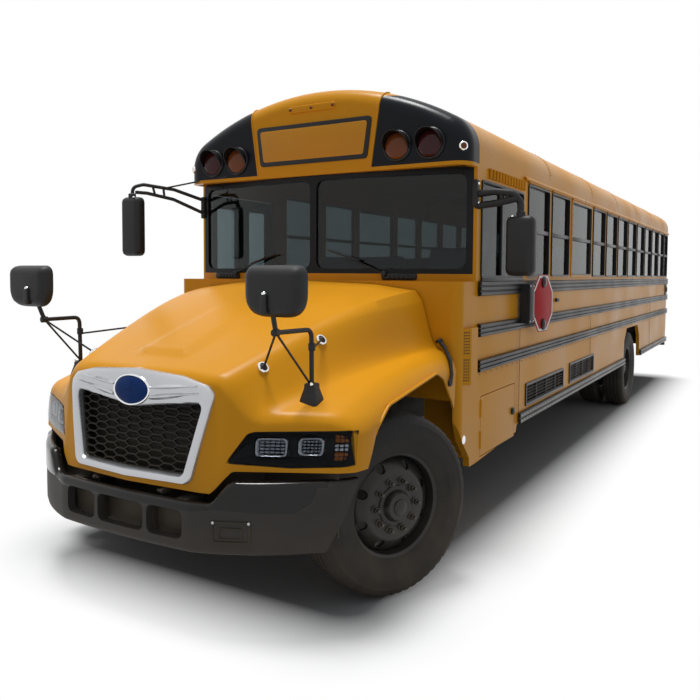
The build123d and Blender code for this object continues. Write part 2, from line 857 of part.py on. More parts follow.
def nose_loop(row, inset, base):
    """Cross section of the nose, drawn this far inside its skin."""
    s, crown, x1, z1, x2, z2, x3, z3, x4, z4 = row
    brow = x1 * 0.62
    half = [
        (brow, crown - inset - (crown - z1) * 0.3),
        (x1 - inset * 0.8, z1 - inset),
        (x2 - inset * 0.8, z2 - inset * 0.7),
        (x3 - inset * 0.5, z3 - inset),
        (x4 - inset, z4 - inset * 0.6),
        (x4 - inset, base),
    ]
    with BuildLine() as loop:
        ThreePointArc((-half[0][0], half[0][1]), (0, crown - inset), half[0])
        rounded(half, nose_radii)
        Line(half[-1], (-half[-1][0], base))
        rounded([(-x, z) for x, z in half], nose_radii)
    return loop.edges()


def nose_outline(inset, height):
    """Plan outline of the nose at a height, closed behind the hood."""
    back = nose_lean * (height - nose_lean_from) + inset
    left = [(max(x - inset * 0.6, 0), station(s + back)) for x, s in nose_plan]
    right = [(-x, y) for x, y in left]
    rear = station(hood_rear + 60)
    with BuildLine() as outline:
        ThreePointArc(right[1], left[0], left[1])
        rounded([*left[1:], (left[-1][0], rear)], plan_radii)
        rounded([*right[1:], (right[-1][0], rear)], plan_radii)
        Line((left[-1][0], rear), (right[-1][0], rear))
    return outline.edges()


def nose_form(inset, plan_inset, base):
    """Solid inside the nose skin, trimmed to its leaning plan outline."""
    with BuildPart() as form:
        for row in nose_sections:
            with BuildSketch(cross_plane(row[0])):
                make_face(nose_loop(row, inset, base))
        loft()
    with BuildPart() as trim:
        for height in (base - 60, 1900):
            with BuildSketch(Plane.XY.offset(height)):
                make_face(nose_outline(plan_inset, height))
        loft()
    with BuildPart() as trimmed:
        add(form.part)
        add(trim.part, mode=Mode.INTERSECT)
    return trimmed.part


def nose_slab(front, rear):
    """Layer of the leaning nose face between two depths."""
    with BuildPart() as slab:
        for depth, mode in ((front, Mode.ADD), (rear, Mode.SUBTRACT)):
            with BuildPart(mode=Mode.PRIVATE) as layer:
                for height in (580, 1900):
                    with BuildSketch(Plane.XY.offset(height)):
                        make_face(nose_outline(0, height))
                loft()
            add(layer.part.moved(Location((0, depth, 0))), mode=mode)
    return slab.part


# Grille outlines seen from the front as (x, z) of the left half
grille_outer = ((0, 1322), (330, 1300), (500, 1262), (538, 1215), (436, 775), (405, 752), (0, 748))
grille_inner = ((0, 1118), (300, 1152), (458, 1165), (470, 1140), (382, 812), (360, 796), (0, 794))
lamp_outline = ((610, 876), (700, 1026), (734, 1038), (1230, 1052), (1230, 884), (1149, 868), (906, 858))
lamp_back = -620
nose_edge = ((1300, 838), (645, 838), (545, 720))
front_arch = (
    (-640, 600),
    (-545, 800),
    (-440, 1020),
    (-300, 1132),
    (330, 1232),
    (430, 1190),
    (545, 1050),
    (615, 935),
    (660, 850),
    (700, 600),
)
lug_thickness = 16
outer_form = nose_form(0, 0, nose_base)
inner_form = nose_form(hood_skin, 30, nose_base - 40)


def mirrored(points):
    """Closed outline from the points of its left half."""
    return [*points, *[(-x, z) for x, z in reversed(points) if x > 0]]


with BuildPart() as hood:
    add(outer_form)
    add(inner_form, mode=Mode.SUBTRACT)
    block((-1400, 1400), (hood_rear - 1, hood_rear + 200), (500, 1900), mode=Mode.SUBTRACT)
    with BuildSketch(cross_plane(hood_rear + 100)):
        with BuildLine():
            low = [(1300, 500), *nose_edge]
            Polyline(*low, *[(-x, z) for x, z in reversed(low)], close=True)
        make_face()
    extrude(amount=2000, mode=Mode.SUBTRACT)
    with BuildSketch(side_plane(-1400)):
        with BuildLine():
            Polyline(*along(front_arch), close=True)
        make_face()
    extrude(amount=2800, mode=Mode.SUBTRACT)
    with BuildSketch(cross_plane(-700)):
        with BuildLine():
            Polyline(*mirrored(grille_outer), close=True)
        make_face()
    extrude(amount=500, mode=Mode.SUBTRACT)
    for side in sides:
        with BuildSketch(cross_plane(lamp_back)):
            with BuildLine():
                Polyline(*[(side * x, z) for x, z in lamp_outline], close=True)
            make_face()
        extrude(amount=800, mode=Mode.SUBTRACT)
    for side in sides:
        edge = side * hood_hinge_x - lug_thickness / 2
        with BuildSketch(side_plane(edge)):
            with Locations((station(hood_hinge_station), hood_hinge_height)):
                Circle(hood_hinge_boss)
            with Locations((station(hood_hinge_station) + 4, hood_hinge_height + 20)):
                Rectangle(16, 40)
        extrude(amount=lug_thickness)
        ends = [(side * (hood_hinge_x + e * lug_thickness), *pin_line) for e in (-1, 1)]
        bar(*ends, hood_hinge_radius + joint_gap, mode=Mode.SUBTRACT)
save(hood.part, "hood")

# Grille surround and its honeycomb panel
surround_proud = 16
surround_depth = 34
mesh_front = 22
mesh_rear = 38
hex_pitch_x = 86
hex_pitch_z = 41
hex_wall = 6
hex_rim = 0.97

with BuildPart() as grille_surround:
    with BuildSketch(cross_plane(-700)):
        with BuildLine():
            Polyline(*mirrored(grille_outer), close=True)
        make_face()
        with BuildLine():
            Polyline(*mirrored(grille_inner), close=True)
        make_face(mode=Mode.SUBTRACT)
    extrude(amount=500)
    add(nose_slab(-surround_proud, surround_depth), mode=Mode.INTERSECT)
save(grille_surround.part, "grille_surround")

with BuildPart() as grille_mesh:
    with BuildSketch(cross_plane(-700)):
        with BuildLine():
            Polyline(*mirrored(grille_inner), close=True)
        make_face()
        point = hex_pitch_x * 2 / 3 - hex_wall * 0.6
        flat = hex_pitch_x / 3 - hex_wall * 0.3
        tall = (hex_pitch_z - hex_wall) / 2
        for column in range(-5, 6):
            for row in range(10):
                with Locations((column * hex_pitch_x, 796 + (row + 0.5 * (column % 2)) * hex_pitch_z)):
                    Polygon(
                        (-point, 0),
                        (-flat, -tall),
                        (flat, -tall),
                        (point, 0),
                        (flat, tall),
                        (-flat, tall),
                        mode=Mode.SUBTRACT,
                    )
    with BuildSketch(cross_plane(-700)):
        with BuildLine():
            Polyline(*mirrored(grille_inner), close=True)
        make_face()
        with BuildLine():
            Polyline(*[(x * hex_rim, 980 + (z - 980) * hex_rim) for x, z in mirrored(grille_inner)], close=True)
        make_face(mode=Mode.SUBTRACT)
    extrude(amount=500)
    add(nose_slab(mesh_front, mesh_rear), mode=Mode.INTERSECT)
save(grille_mesh.part, "grille_mesh")

# Headlights that fill their pockets, flush with the fenders
lamp_depth = 70
with BuildPart() as headlights:
    add(outer_form)
    add(outer_form.moved(Location((0, lamp_depth, 0))), mode=Mode.SUBTRACT)
    with BuildSketch(cross_plane(lamp_back)):
        for side in sides:
            with BuildLine():
                Polyline(*[(side * x, z) for x, z in lamp_outline], close=True)
            make_face()
    extrude(amount=800, mode=Mode.INTERSECT)
save(headlights.part, "headlights")

# Convex mirrors on tall arms over the fenders, each arm braced to its boot and to two mounts on the hood
arm_radius = 13
brace_radius = 6
mount_radius = 30
mount_height = 26
boot_radii = (56, 30)
boot_heights = (1120, 1262)
head_size = (345, 250)
head_depth = 72
head_taper = 22
head_top_radius = 60
head_low_radius = 118
head_middle = (916, -915, 1750)
arm_foot = (900, -598, 1180)
arm_elbow = (900, -604, 1546)
arm_clamp = (876, -880, 1546)
arm_stem = (886, -925, 1660)
brace_mounts = ((655, -696, 1339), (764, -303, 1461))
brace_starts = (arm_clamp, (900, -602, 1440))
mount_lean = (0.78, -0.15, 0.60)


def on_side(side, point, step=0):
    """A point of the left mirror on either side, moved out along its mount's lean."""
    x, s, z = [value + step * share for value, share in zip(point, mount_lean)]
    return side * x, s, z


with BuildPart() as fender_mirrors:
    for side in sides:
        arm = [on_side(side, point) for point in (arm_foot, arm_elbow, arm_clamp, arm_stem)]
        for first, second in zip(arm, arm[1:]):
            bar(first, second, arm_radius)
        for joint in arm[1:3]:
            with Locations((joint[0], station(joint[1]), joint[2])):
                Sphere(arm_radius)
        bar(arm[2], on_side(side, (arm_foot[0], arm_foot[1], boot_heights[1])), brace_radius)
        for mount, start in zip(brace_mounts, brace_starts):
            bar(on_side(side, mount, -mount_height), on_side(side, mount, mount_height), mount_radius)
            bar(on_side(side, mount, mount_height / 2), on_side(side, start), brace_radius)
        with Locations((side * arm_foot[0], station(arm_foot[1]), sum(boot_heights) / 2)):
            Cone(boot_radii[0], boot_radii[1], boot_heights[1] - boot_heights[0])
    with BuildSketch(cross_plane(head_middle[1])) as heads:
        with Locations(*[(side * head_middle[0], head_middle[2]) for side in sides]):
            Rectangle(*head_size)
        fillet(heads.vertices().group_by(Axis.Y)[-1], head_top_radius)
        fillet(heads.vertices().group_by(Axis.Y)[0], head_low_radius)
    extrude(amount=head_depth, taper=head_taper)
    add(outer_form, mode=Mode.SUBTRACT)
save(fender_mirrors.part, "fender_mirrors")

# Road wheels: pressed discs with hand holes on a barrel, turned about their own axle line
disc_thickness = 14
barrel_thickness = 14


def wheel_plane(centre, outward):
    """Section plane of a wheel, with its axle line across and up the page as height."""
    across = Vector(outward)
    return Plane(origin=centre, x_dir=across, z_dir=across.cross(Vector(0, 0, 1)))


def tyre_loop():
    """Half section of a tyre above its axle line, open towards the rim."""
    half = tyre_half_width
    bulge = (flange_radius + tyre_radius) / 2 + 5
    outer = [
        (rim_half_width, bead_radius),
        (rim_half_width, flange_radius),
        (half - 12, flange_radius + 35),
        (half, bulge - 20),
        (half, bulge + 20),
        (half - 18, tyre_radius - 42),
        (half - 36, tyre_radius - 8),
        (half - 90, tyre_radius),
    ]
    with BuildLine() as loop:
        Polyline(*outer, *[(-a, r) for a, r in reversed(outer)], close=True)
    return loop.edges()


def rim_loop(disc_x):
    """Barrel and flanges with a dished disc at this place along the axle."""
    width = rim_half_width
    edge = width + flange_thickness
    inner = bead_radius - barrel_thickness
    foot = disc_x * 0.45
    with BuildLine() as loop:
        Polyline(
            (-edge, flange_radius),
            (-width, flange_radius),
            (-width, bead_radius),
            (width, bead_radius),
            (width, flange_radius),
            (edge, flange_radius),
            (edge, inner),
            (foot + disc_thickness, inner),
            (disc_x + disc_thickness, 205),
            (disc_x + disc_thickness, hub_radius),
            (disc_x, hub_radius),
            (disc_x, 205),
            (foot, inner),
            (-edge, inner),
            close=True,
        )
    return loop.edges()


steer = radians(parked_steer)
front_disc_x = 52
hub_length = 150
front_outward = {1: Vector(cos(steer), -sin(steer), 0), -1: Vector(-cos(steer), sin(steer), 0)}
kingpin = {side: Vector(side * kingpin_x, station(0), tyre_radius) for side in sides}
side_names = {1: "left", -1: "right"}

for side in sides:
    axis_dir = front_outward[side]
    centre = kingpin[side] + axis_dir * kingpin_offset
    section = wheel_plane(centre, axis_dir)
    axle = Axis(centre, axis_dir)
    with BuildPart() as front_tyre:
        with BuildSketch(section):
            make_face(tyre_loop())
        revolve(axis=axle)
    save(front_tyre.part, f"front_tyre_{side_names[side]}")
    with BuildPart() as front_wheel:
        with BuildSketch(section):
            make_face(rim_loop(front_disc_x))
        revolve(axis=axle)
        face = Plane(origin=centre, z_dir=axis_dir)
        with BuildSketch(face.offset(-rim_half_width)):
            with PolarLocations(238, hand_holes):
                SlotOverall(70, 44, rotation=90)
        extrude(amount=2 * rim_half_width, mode=Mode.SUBTRACT)
        with BuildSketch(section):
            with BuildLine():
                Polyline(
                    (-62, spindle_radius + joint_gap),
                    (-62, 190),
                    (front_disc_x - 26, 190),
                    (front_disc_x - 26, 168),
                    (front_disc_x, 168),
                    (front_disc_x, hub_radius),
                    (front_disc_x + disc_thickness + 24, hub_radius),
                    (front_disc_x + disc_thickness + 36, 78),
                    (front_disc_x + disc_thickness + 48, 70),
                    (front_disc_x + disc_thickness + 48, 0),
                    (front_disc_x + disc_thickness + 30, 0),
                    (front_disc_x + disc_thickness + 30, spindle_radius + joint_gap),
                    close=True,
                )
            make_face()
        revolve(axis=axle)
        with BuildSketch(face.offset(front_disc_x + disc_thickness)):
            with PolarLocations(stud_circle_radius, stud_count):
                RegularPolygon(19, 6)
        extrude(amount=30)
    save(front_wheel.part, f"front_wheel_{side_names[side]}")
    with BuildPart() as knuckle:
        with BuildSketch(section):
            with BuildLine():
                Polyline(
                    (-kingpin_offset + 62, 0),
                    (-kingpin_offset + 62, 85),
                    (-kingpin_offset + 92, 85),
                    (-68, spindle_radius + 20),
                    (-68, spindle_radius),
                    (front_disc_x + disc_thickness + 20, spindle_radius),
                    (front_disc_x + disc_thickness + 20, 0),
                    close=True,
                )
            make_face()
        revolve(axis=axle)
        for e in sides:
            arm = Plane(
                origin=kingpin[side] + Vector(0, 0, e * (boss_height / 2 + 20)),
                x_dir=axis_dir,
                z_dir=(0, 0, 1),
            )
            with BuildSketch(arm.offset(-18)):
                Circle(46)
                with Locations((46, 0)):
                    Rectangle(92, 92)
            extrude(amount=36)
            wall = Plane(
                origin=kingpin[side] + axis_dir * 77 + Vector(0, 0, e * 70),
                x_dir=axis_dir,
                z_dir=(0, 0, 1),
            )
            with BuildSketch(wall.offset(-40)):
                Rectangle(30, 92)
            extrude(amount=80)
        pin = kingpin[side]
        with Locations((pin.X, pin.Y, pin.Z)):
            Cylinder(kingpin_radius, boss_height + 70)
    save(knuckle.part, f"knuckle_{side_names[side]}")

# Twin rear wheels bolted back to back on one hub with its brake drum
rear_disc_x = dual_spacing / 2 - disc_thickness
drum_radius = 215
for side in sides:
    outward = Vector(side, 0, 0)
    planes = (
        (rear_outer_plane, -1),
        (rear_outer_plane - dual_spacing, 1),
    )
    axle = Axis((0, station(wheelbase), tyre_radius), (1, 0, 0))
    with BuildPart() as rear_tyres:
        for plane_x, facing in planes:
            centre = Vector(side * plane_x, station(wheelbase), tyre_radius)
            with BuildSketch(wheel_plane(centre, outward)):
                make_face(tyre_loop())
        revolve(axis=axle)
    save(rear_tyres.part, f"rear_tyres_{side_names[side]}")
    with BuildPart() as rear_wheels:
        for plane_x, facing in planes:
            centre = Vector(side * plane_x, station(wheelbase), tyre_radius)
            with BuildSketch(wheel_plane(centre, outward * facing)):
                make_face(rim_loop(rear_disc_x))
        revolve(axis=axle)
        hub = Vector(side * dual_middle, station(wheelbase), tyre_radius)
        with BuildSketch(Plane(origin=hub - outward * 300, z_dir=outward)):
            with PolarLocations(238, hand_holes):
                SlotOverall(70, 44, rotation=90)
        extrude(amount=600, mode=Mode.SUBTRACT)
        with BuildSketch(wheel_plane(hub, outward)):
            with BuildLine():
                Polyline(
                    (-250, spindle_radius + joint_gap),
                    (-250, drum_radius - 10),
                    (-30, drum_radius - 10),
                    (-30, 175),
                    (-disc_thickness, 175),
                    (-disc_thickness, hub_radius),
                    (disc_thickness + 60, hub_radius),
                    (disc_thickness + 60, 95),
                    (rear_spindle_end - dual_middle + 26, 95),
                    (rear_spindle_end - dual_middle + 26, 0),
                    (rear_spindle_end - dual_middle + 6, 0),
                    (rear_spindle_end - dual_middle + 6, spindle_radius + joint_gap),
                    close=True,
                )
            make_face()
        revolve(axis=axle)
        with BuildSketch(Plane(origin=hub + outward * disc_thickness, z_dir=outward)):
            with PolarLocations(stud_circle_radius, stud_count):
                RegularPolygon(19, 6)
        extrude(amount=30)
    save(rear_wheels.part, f"rear_wheels_{side_names[side]}")

# Two entrance door leaves, hinged on their outer edges
leaf_thickness = 40
leaf_low = 446
leaf_high = entrance_head - door_gap
leaf_split = sum(doorway) / 2
leaf_rows = (
    ("entrance_leaf_front", doorway[0] + door_gap, leaf_split - door_gap / 2, entrance_hinges[0]),
    ("entrance_leaf_rear", leaf_split + door_gap / 2, doorway[1] - door_gap, entrance_hinges[1]),
)
leaf_border = 62
leaf_panes = ((560, 1080), (1170, 2420))

for name, start, end, hinge in leaf_rows:
    with BuildPart() as leaf:
        block((-body_half, -body_half + leaf_thickness), (start, end), (leaf_low, leaf_high))
        with BuildSketch(side_plane(-body_half)):
            for low, high in leaf_panes:
                draw_windows([(start + leaf_border, end - start - 2 * leaf_border)], low, high)
        extrude(amount=leaf_thickness, mode=Mode.SUBTRACT)
        knuckles(-body_half, hinge, entrance_knuckles, False)
    save(leaf.part, name)
    with BuildPart() as leaf_glass:
        with BuildSketch(side_plane(-body_half + pane_depth)):
            for low, high in leaf_panes:
                draw_windows([(start + leaf_border, end - start - 2 * leaf_border)], low, high)
        extrude(amount=pane_thickness)
    save(leaf_glass.part, name.replace("leaf", "glass"))

# Rear emergency door
rear_leaf_half = rear_door_half - door_gap
rear_leaf_heights = (rear_door_heights[0] + door_gap, rear_door_heights[1] - door_gap)
rear_panes = ((1200, 1620), (1780, 2320))
with BuildPart() as emergency_door:
    block(
        (-rear_leaf_half, rear_leaf_half),
        (body_rear - leaf_thickness, body_rear),
        rear_leaf_heights,
    )
    with BuildSketch(cross_plane(body_rear)):
        for low, high in rear_panes:
            with Locations((0, (low + high) / 2)):
                RectangleRounded(2 * rear_leaf_half - 140, high - low, window_corner)
    extrude(amount=leaf_thickness, mode=Mode.SUBTRACT)
    knuckles(rear_hinge_x, body_rear, rear_knuckles, False)
save(emergency_door.part, "emergency_door")

with BuildPart() as emergency_glass:
    with BuildSketch(cross_plane(body_rear - pane_depth)):
        for low, high in rear_panes:
            with Locations((0, (low + high) / 2)):
                RectangleRounded(2 * rear_leaf_half - 140, high - low, window_corner)
    extrude(amount=pane_thickness)
save(emergency_glass.part, "emergency_glass")

# Battery compartment door
with BuildPart() as battery_lid:
    block(
        (body_half - 22, body_half),
        (battery_door[0] + door_gap, battery_door[1] - door_gap),
        (battery_heights[0] + door_gap, battery_heights[1] - door_gap),
    )
    knuckles(body_half, battery_hinge, battery_knuckles, False)
save(battery_lid.part, "battery_door")

# Stop arm: hinge box on the wall and a blank octagon that swings out
stop_box = (1836, 1950)
stop_box_x = (body_half + rail_proud, 1312)
stop_box_heights = (1457, 1766)
stop_across = 470
stop_sheet = 6
stop_hinge = (1290, 1968)
stop_height = 1605
stop_rest = 4
stop_pins = (1500, 1700)
with BuildPart() as stop_arm_box:
    block(stop_box_x, stop_box, stop_box_heights)
    for z in stop_pins:
        bar((stop_hinge[0], stop_hinge[1], z - 25), (stop_hinge[0], stop_hinge[1], z + 25), 9)
        block((stop_hinge[0] - 9, stop_hinge[0] + 9), (stop_box[1], stop_hinge[1]), (z - 25, z - 10))
        block((stop_hinge[0] - 9, stop_hinge[0] + 9), (stop_box[1], stop_hinge[1]), (z + 10, z + 25))
save(stop_arm_box.part, "stop_arm_box")

stop_plane = Plane(
    origin=(stop_hinge[0], station(stop_hinge[1]), stop_height),
    x_dir=(sin(radians(stop_rest)), cos(radians(stop_rest)), 0),
    z_dir=(cos(radians(stop_rest)), -sin(radians(stop_rest)), 0),
)
with BuildPart() as stop_sign:
    with BuildSketch(stop_plane.offset(-stop_sheet / 2)):
        with Locations((stop_across / 2 + 26, 0)):
            RegularPolygon(stop_across / 2, 8, major_radius=False, rotation=22.5)
        with Locations(*[(30, z - stop_height) for z in stop_pins]):
            Rectangle(60, 16)
    extrude(amount=stop_sheet)
    for z in stop_pins:
        with Locations((stop_hinge[0], station(stop_hinge[1]), z)):
            Cylinder(16, 18)
            Cylinder(9 + joint_gap, 18, mode=Mode.SUBTRACT)
    for z in (-175, 175):
        with BuildSketch(stop_plane.offset(stop_sheet / 2)):
            with Locations((stop_across / 2 + 26, z)):
                Circle(40)
        extrude(amount=24)
save(stop_sign.part, "stop_sign")

# Louvred panels in the left skirt
slat_pitch = 27
slat_height = 11
with BuildPart() as skirt_grilles:
    with BuildSketch(side_plane(body_half - 26)):
        for start, length, low, high in skirt_openings:
            with Locations((station(start + length / 2), (low + high) / 2)):
                Rectangle(length, high - low)
            count = int((high - low - 40) / slat_pitch)
            for index in range(count):
                z = low + 30 + slat_pitch * (index + 0.5)
                with Locations((station(start + length / 2), z)):
                    Rectangle(length - 50, slat_pitch - slat_height, mode=Mode.SUBTRACT)
    extrude(amount=16)
save(skirt_grilles.part, "skirt_grilles")

# Outside mirrors as (side, foot, shoulder, head centre, head height)
mirror_arm_radius = 15
mirror_post_radius = 20
mirror_width = 195
mirror_depth = 85
mirror_table = (
    (1, (1219, 935, 2330), (1490, 975, 2330), (1500, 990, 2030), 400),
    (-1, (-1219, 935, 2440), (-1490, 430, 2500), (-1500, 399, 2205), 470),
)
with BuildPart() as side_mirrors:
    for side, foot, shoulder, middle, height in mirror_table:
        for drop in (0, 70):
            first = (foot[0], foot[1], foot[2] - drop)
            second = (shoulder[0], shoulder[1], shoulder[2] - drop)
            bar(first, second, mirror_arm_radius)
        block(
            sorted((foot[0], foot[0] + side * 22)),
            (foot[1] - 14, foot[1] + 14),
            (foot[2] - 110, foot[2] + 40),
        )
        post = ((shoulder[0], shoulder[1], shoulder[2] + 25), (shoulder[0], shoulder[1], middle[2]))
        bar(*post, mirror_post_radius)
        with BuildSketch(cross_plane(middle[1] + mirror_depth / 2)):
            with Locations((middle[0], middle[2])):
                RectangleRounded(mirror_width, height, 45)
        extrude(amount=mirror_depth)
    block((-body_half, body_half), (800, 1100), (2000, 2700), mode=Mode.SUBTRACT)
save(side_mirrors.part, "side_mirrors")

# Warning and tail lamps as (half spacing, height, lens radius, rear end, visor, colour)
lens_radius = 90
lens_depth = 26
visor_length = 88
visor_sheet = 6
lamp_table = (
    (702, 2713, cap_front, -1, True, "amber"),
    (949, 2711, cap_front, -1, True, "red"),
    (620, 2740, body_rear, 1, True, "amber"),
    (860, 2720, body_rear, 1, True, "red"),
    (1010, 1560, body_rear, 1, False, "red"),
    (1010, 1340, body_rear, 1, False, "amber"),
)
for colour in ("amber", "red"):
    with BuildPart() as lenses:
        for half_spacing, height, face, way, visor, tint in lamp_table:
            if tint == colour:
                for side in sides:
                    x = side * half_spacing
                    bar((x, face, height), (x, face + way * lens_depth, height), lens_radius)
    save(lenses.part, f"lenses_{colour}")

with BuildPart() as lamp_visors:
    for half_spacing, height, face, way, visor, tint in lamp_table:
        if visor:
            start = face if way < 0 else face + visor_length
            for side in sides:
                with BuildSketch(cross_plane(start)):
                    with BuildLine():
                        radii = (lens_radius + joint_gap, lens_radius + visor_sheet)
                        arcs = [CenterArc((side * half_spacing, height), r, -15, 210) for r in radii]
                        Line(arcs[0] @ 0, arcs[1] @ 0)
                        Line(arcs[0] @ 1, arcs[1] @ 1)
                    make_face()
                extrude(amount=visor_length)
save(lamp_visors.part, "lamp_visors")

# Bench seats in rows, with a slanted back behind each cushion
seat_rows = 12
first_row = 2560
seat_x = (175, 1165)
cushion_depth = 390
cushion_heights = (1375, 1490)
back_height = 640
back_thickness = 75
back_slant = 60
leg_width = 40

row_stations = [first_row + row * window_pitch for row in range(seat_rows)]
with BuildPart() as seats:
    with BuildSketch(Plane.XY.offset(cushion_heights[0])):
        for rear in row_stations:
            for side in sides:
                with Locations((side * sum(seat_x) / 2, station(rear - cushion_depth / 2))):
                    Rectangle(seat_x[1] - seat_x[0], cushion_depth)
    extrude(amount=cushion_heights[1] - cushion_heights[0])
    with BuildSketch(Plane.XY.offset(floor_top)):
        for rear in row_stations:
            for side in sides:
                for x in (seat_x[0] + 40, seat_x[0] + 320):
                    with Locations((side * x, station(rear - cushion_depth + 45)), (side * x, station(rear - 45))):
                        Rectangle(leg_width, leg_width)
    extrude(amount=cushion_heights[0] - floor_top)
    block((380, 850), (1480, 1900), (1430, 1540))
    block((520, 710), (1590, 1790), (floor_top, 1430))
save(seats.part, "seats")


def back_outline(front, low):
    """Side view of a slanted seat back standing behind its cushion."""
    return along(
        (
            (front, low),
            (front + back_thickness, low),
            (front + back_thickness + back_slant, low + back_height),
            (front + back_slant + 20, low + back_height),
            (front, low + 125),
        )
    )


with BuildPart() as seat_backs:
    for side in sides:
        with BuildSketch(side_plane(min(side * seat_x[0], side * seat_x[1]))):
            for rear in row_stations:
                Polygon(*back_outline(rear, cushion_heights[0]), align=None)
        extrude(amount=seat_x[1] - seat_x[0])
    with BuildSketch(side_plane(390)):
        Polygon(*back_outline(1900, 1430), align=None)
    extrude(amount=450)
save(seat_backs.part, "seat_backs")

# Dashboard with the steering column and wheel
dash_heights = (1340, cowl_top - wall_thickness)
wheel_centre = (615, 1150, 1640)
wheel_ring = 215
with BuildPart() as dashboard:
    with BuildSketch(side_plane(-inner_half)):
        with BuildLine():
            Polyline(
                *along(
                    (
                        (cowl_front + wall_thickness, dash_heights[0]),
                        (880, dash_heights[0]),
                        (945, 1560),
                        (900, dash_heights[1]),
                        (cowl_front + wall_thickness, dash_heights[1]),
                    )
                ),
                close=True,
            )
        make_face()
    extrude(amount=2 * inner_half)
    column = (wheel_centre[0], wheel_centre[1] - 250, wheel_centre[2] - 180)
    bar(column, wheel_centre, 26)
    slope = Vector(0, 250, 180)
    rim = Plane(origin=(wheel_centre[0], station(wheel_centre[1]), wheel_centre[2]), z_dir=slope)
    with Locations(rim):
        Torus(wheel_ring, 15)
        Cylinder(50, 40)
        with Locations((0, 0, 0)):
            Box(2 * wheel_ring, 30, 16)
            Box(30, 2 * wheel_ring, 16)
save(dashboard.part, "dashboard")
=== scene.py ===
import json
import math

import bmesh
import bpy
from mathutils import Matrix, Vector


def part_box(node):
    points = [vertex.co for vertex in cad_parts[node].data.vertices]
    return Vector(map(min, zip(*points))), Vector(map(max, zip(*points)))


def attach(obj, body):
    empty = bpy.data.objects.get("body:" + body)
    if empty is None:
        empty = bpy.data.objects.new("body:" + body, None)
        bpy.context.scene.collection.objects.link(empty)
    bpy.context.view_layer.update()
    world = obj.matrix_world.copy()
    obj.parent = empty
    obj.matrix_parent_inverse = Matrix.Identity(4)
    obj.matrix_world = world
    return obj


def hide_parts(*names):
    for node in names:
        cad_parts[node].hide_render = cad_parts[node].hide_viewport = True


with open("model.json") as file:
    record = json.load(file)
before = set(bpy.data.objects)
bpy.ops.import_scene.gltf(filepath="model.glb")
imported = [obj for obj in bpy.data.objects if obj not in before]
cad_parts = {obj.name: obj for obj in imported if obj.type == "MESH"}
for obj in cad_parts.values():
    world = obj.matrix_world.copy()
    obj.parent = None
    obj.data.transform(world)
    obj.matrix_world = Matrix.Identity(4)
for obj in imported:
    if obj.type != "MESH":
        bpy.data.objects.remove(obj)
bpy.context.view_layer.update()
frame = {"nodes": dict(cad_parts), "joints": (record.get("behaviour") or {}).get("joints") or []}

bl_info = {
    "name": "School Bus Finish",
    "version": (1, 0, 0),
    "blender": (4, 5, 0),
    "location": "View3D > Sidebar > School Bus",
    "description": "Dresses the school bus with its paint, glass, trim and soft parts",
    "category": "Object",
}

NODES = frame["nodes"]
JOINTS = {joint["name"]: joint for joint in frame["joints"]}

# Stations run back from the front axle; the frame's Y is a station plus this.
BUMPER_LEAD = 1.095
AXLE_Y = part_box("front_bumper")[0].y + BUMPER_LEAD
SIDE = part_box("side_wall_left")[1].x
SIDES = (1, -1)
SIDE_NAMES = ((1, "left"), (-1, "right"))


def at(x, station, z):
    """A point from its distance off centre, its station behind the front axle and its height."""
    return Vector((x, AXLE_Y + station, z))


class BusColours(bpy.types.PropertyGroup):
    """Paint and trim colours, as linear light."""

    yellow: bpy.props.FloatVectorProperty(
        name="Yellow", description="Body paint", subtype="COLOR", size=3,
        default=(0.7, 0.3, 0.01), min=0, max=1)
    corner_dark: bpy.props.FloatVectorProperty(
        name="Cap corner", description="Dark paint round the roof lamps", subtype="COLOR", size=3,
        default=(0.007, 0.008, 0.012), min=0, max=1)
    black: bpy.props.FloatVectorProperty(
        name="Black", description="Rails, mirrors and window frames", subtype="COLOR", size=3,
        default=(0.011, 0.011, 0.012), min=0, max=1)
    bumper: bpy.props.FloatVectorProperty(
        name="Bumper", description="Matte lower face of the front bumper", subtype="COLOR", size=3,
        default=(0.04, 0.036, 0.034), min=0, max=1)
    silver: bpy.props.FloatVectorProperty(
        name="Silver", description="Grille surround", subtype="COLOR", size=3,
        default=(0.52, 0.53, 0.55), min=0, max=1)
    vinyl: bpy.props.FloatVectorProperty(
        name="Seat vinyl", description="Passenger benches", subtype="COLOR", size=3,
        default=(0.03, 0.038, 0.05), min=0, max=1)
    glass: bpy.props.FloatVectorProperty(
        name="Glass tint", description="Passenger windows", subtype="COLOR", size=3,
        default=(0.1, 0.12, 0.125), min=0, max=1)


class BusSizes(bpy.types.PropertyGroup):
    """Sizes of trim that the frame doesn't hold."""

    rivet: bpy.props.FloatProperty(
        name="Rivet radius", description="Radius of a domed panel rivet", default=0.0065,
        min=0.003, max=0.02, unit="LENGTH", subtype="DISTANCE")
    rivet_pitch: bpy.props.FloatProperty(
        name="Rivet pitch", description="Distance between rivets in a row", default=0.118,
        min=0.03, max=0.5, unit="LENGTH", subtype="DISTANCE")
    frame_width: bpy.props.FloatProperty(
        name="Window frame", description="Width of the black frame round a pane", default=0.015,
        min=0.01, max=0.08, unit="LENGTH", subtype="DISTANCE")
    groove: bpy.props.FloatProperty(
        name="Tread groove", description="Depth of the tyre's ribs", default=0.013,
        min=0.004, max=0.02, unit="LENGTH", subtype="DISTANCE")
    hood_round: bpy.props.FloatProperty(
        name="Hood edge", description="Radius where the hood turns down to its front", default=0.05,
        min=0.01, max=0.1, unit="LENGTH", subtype="DISTANCE")


# Shapes


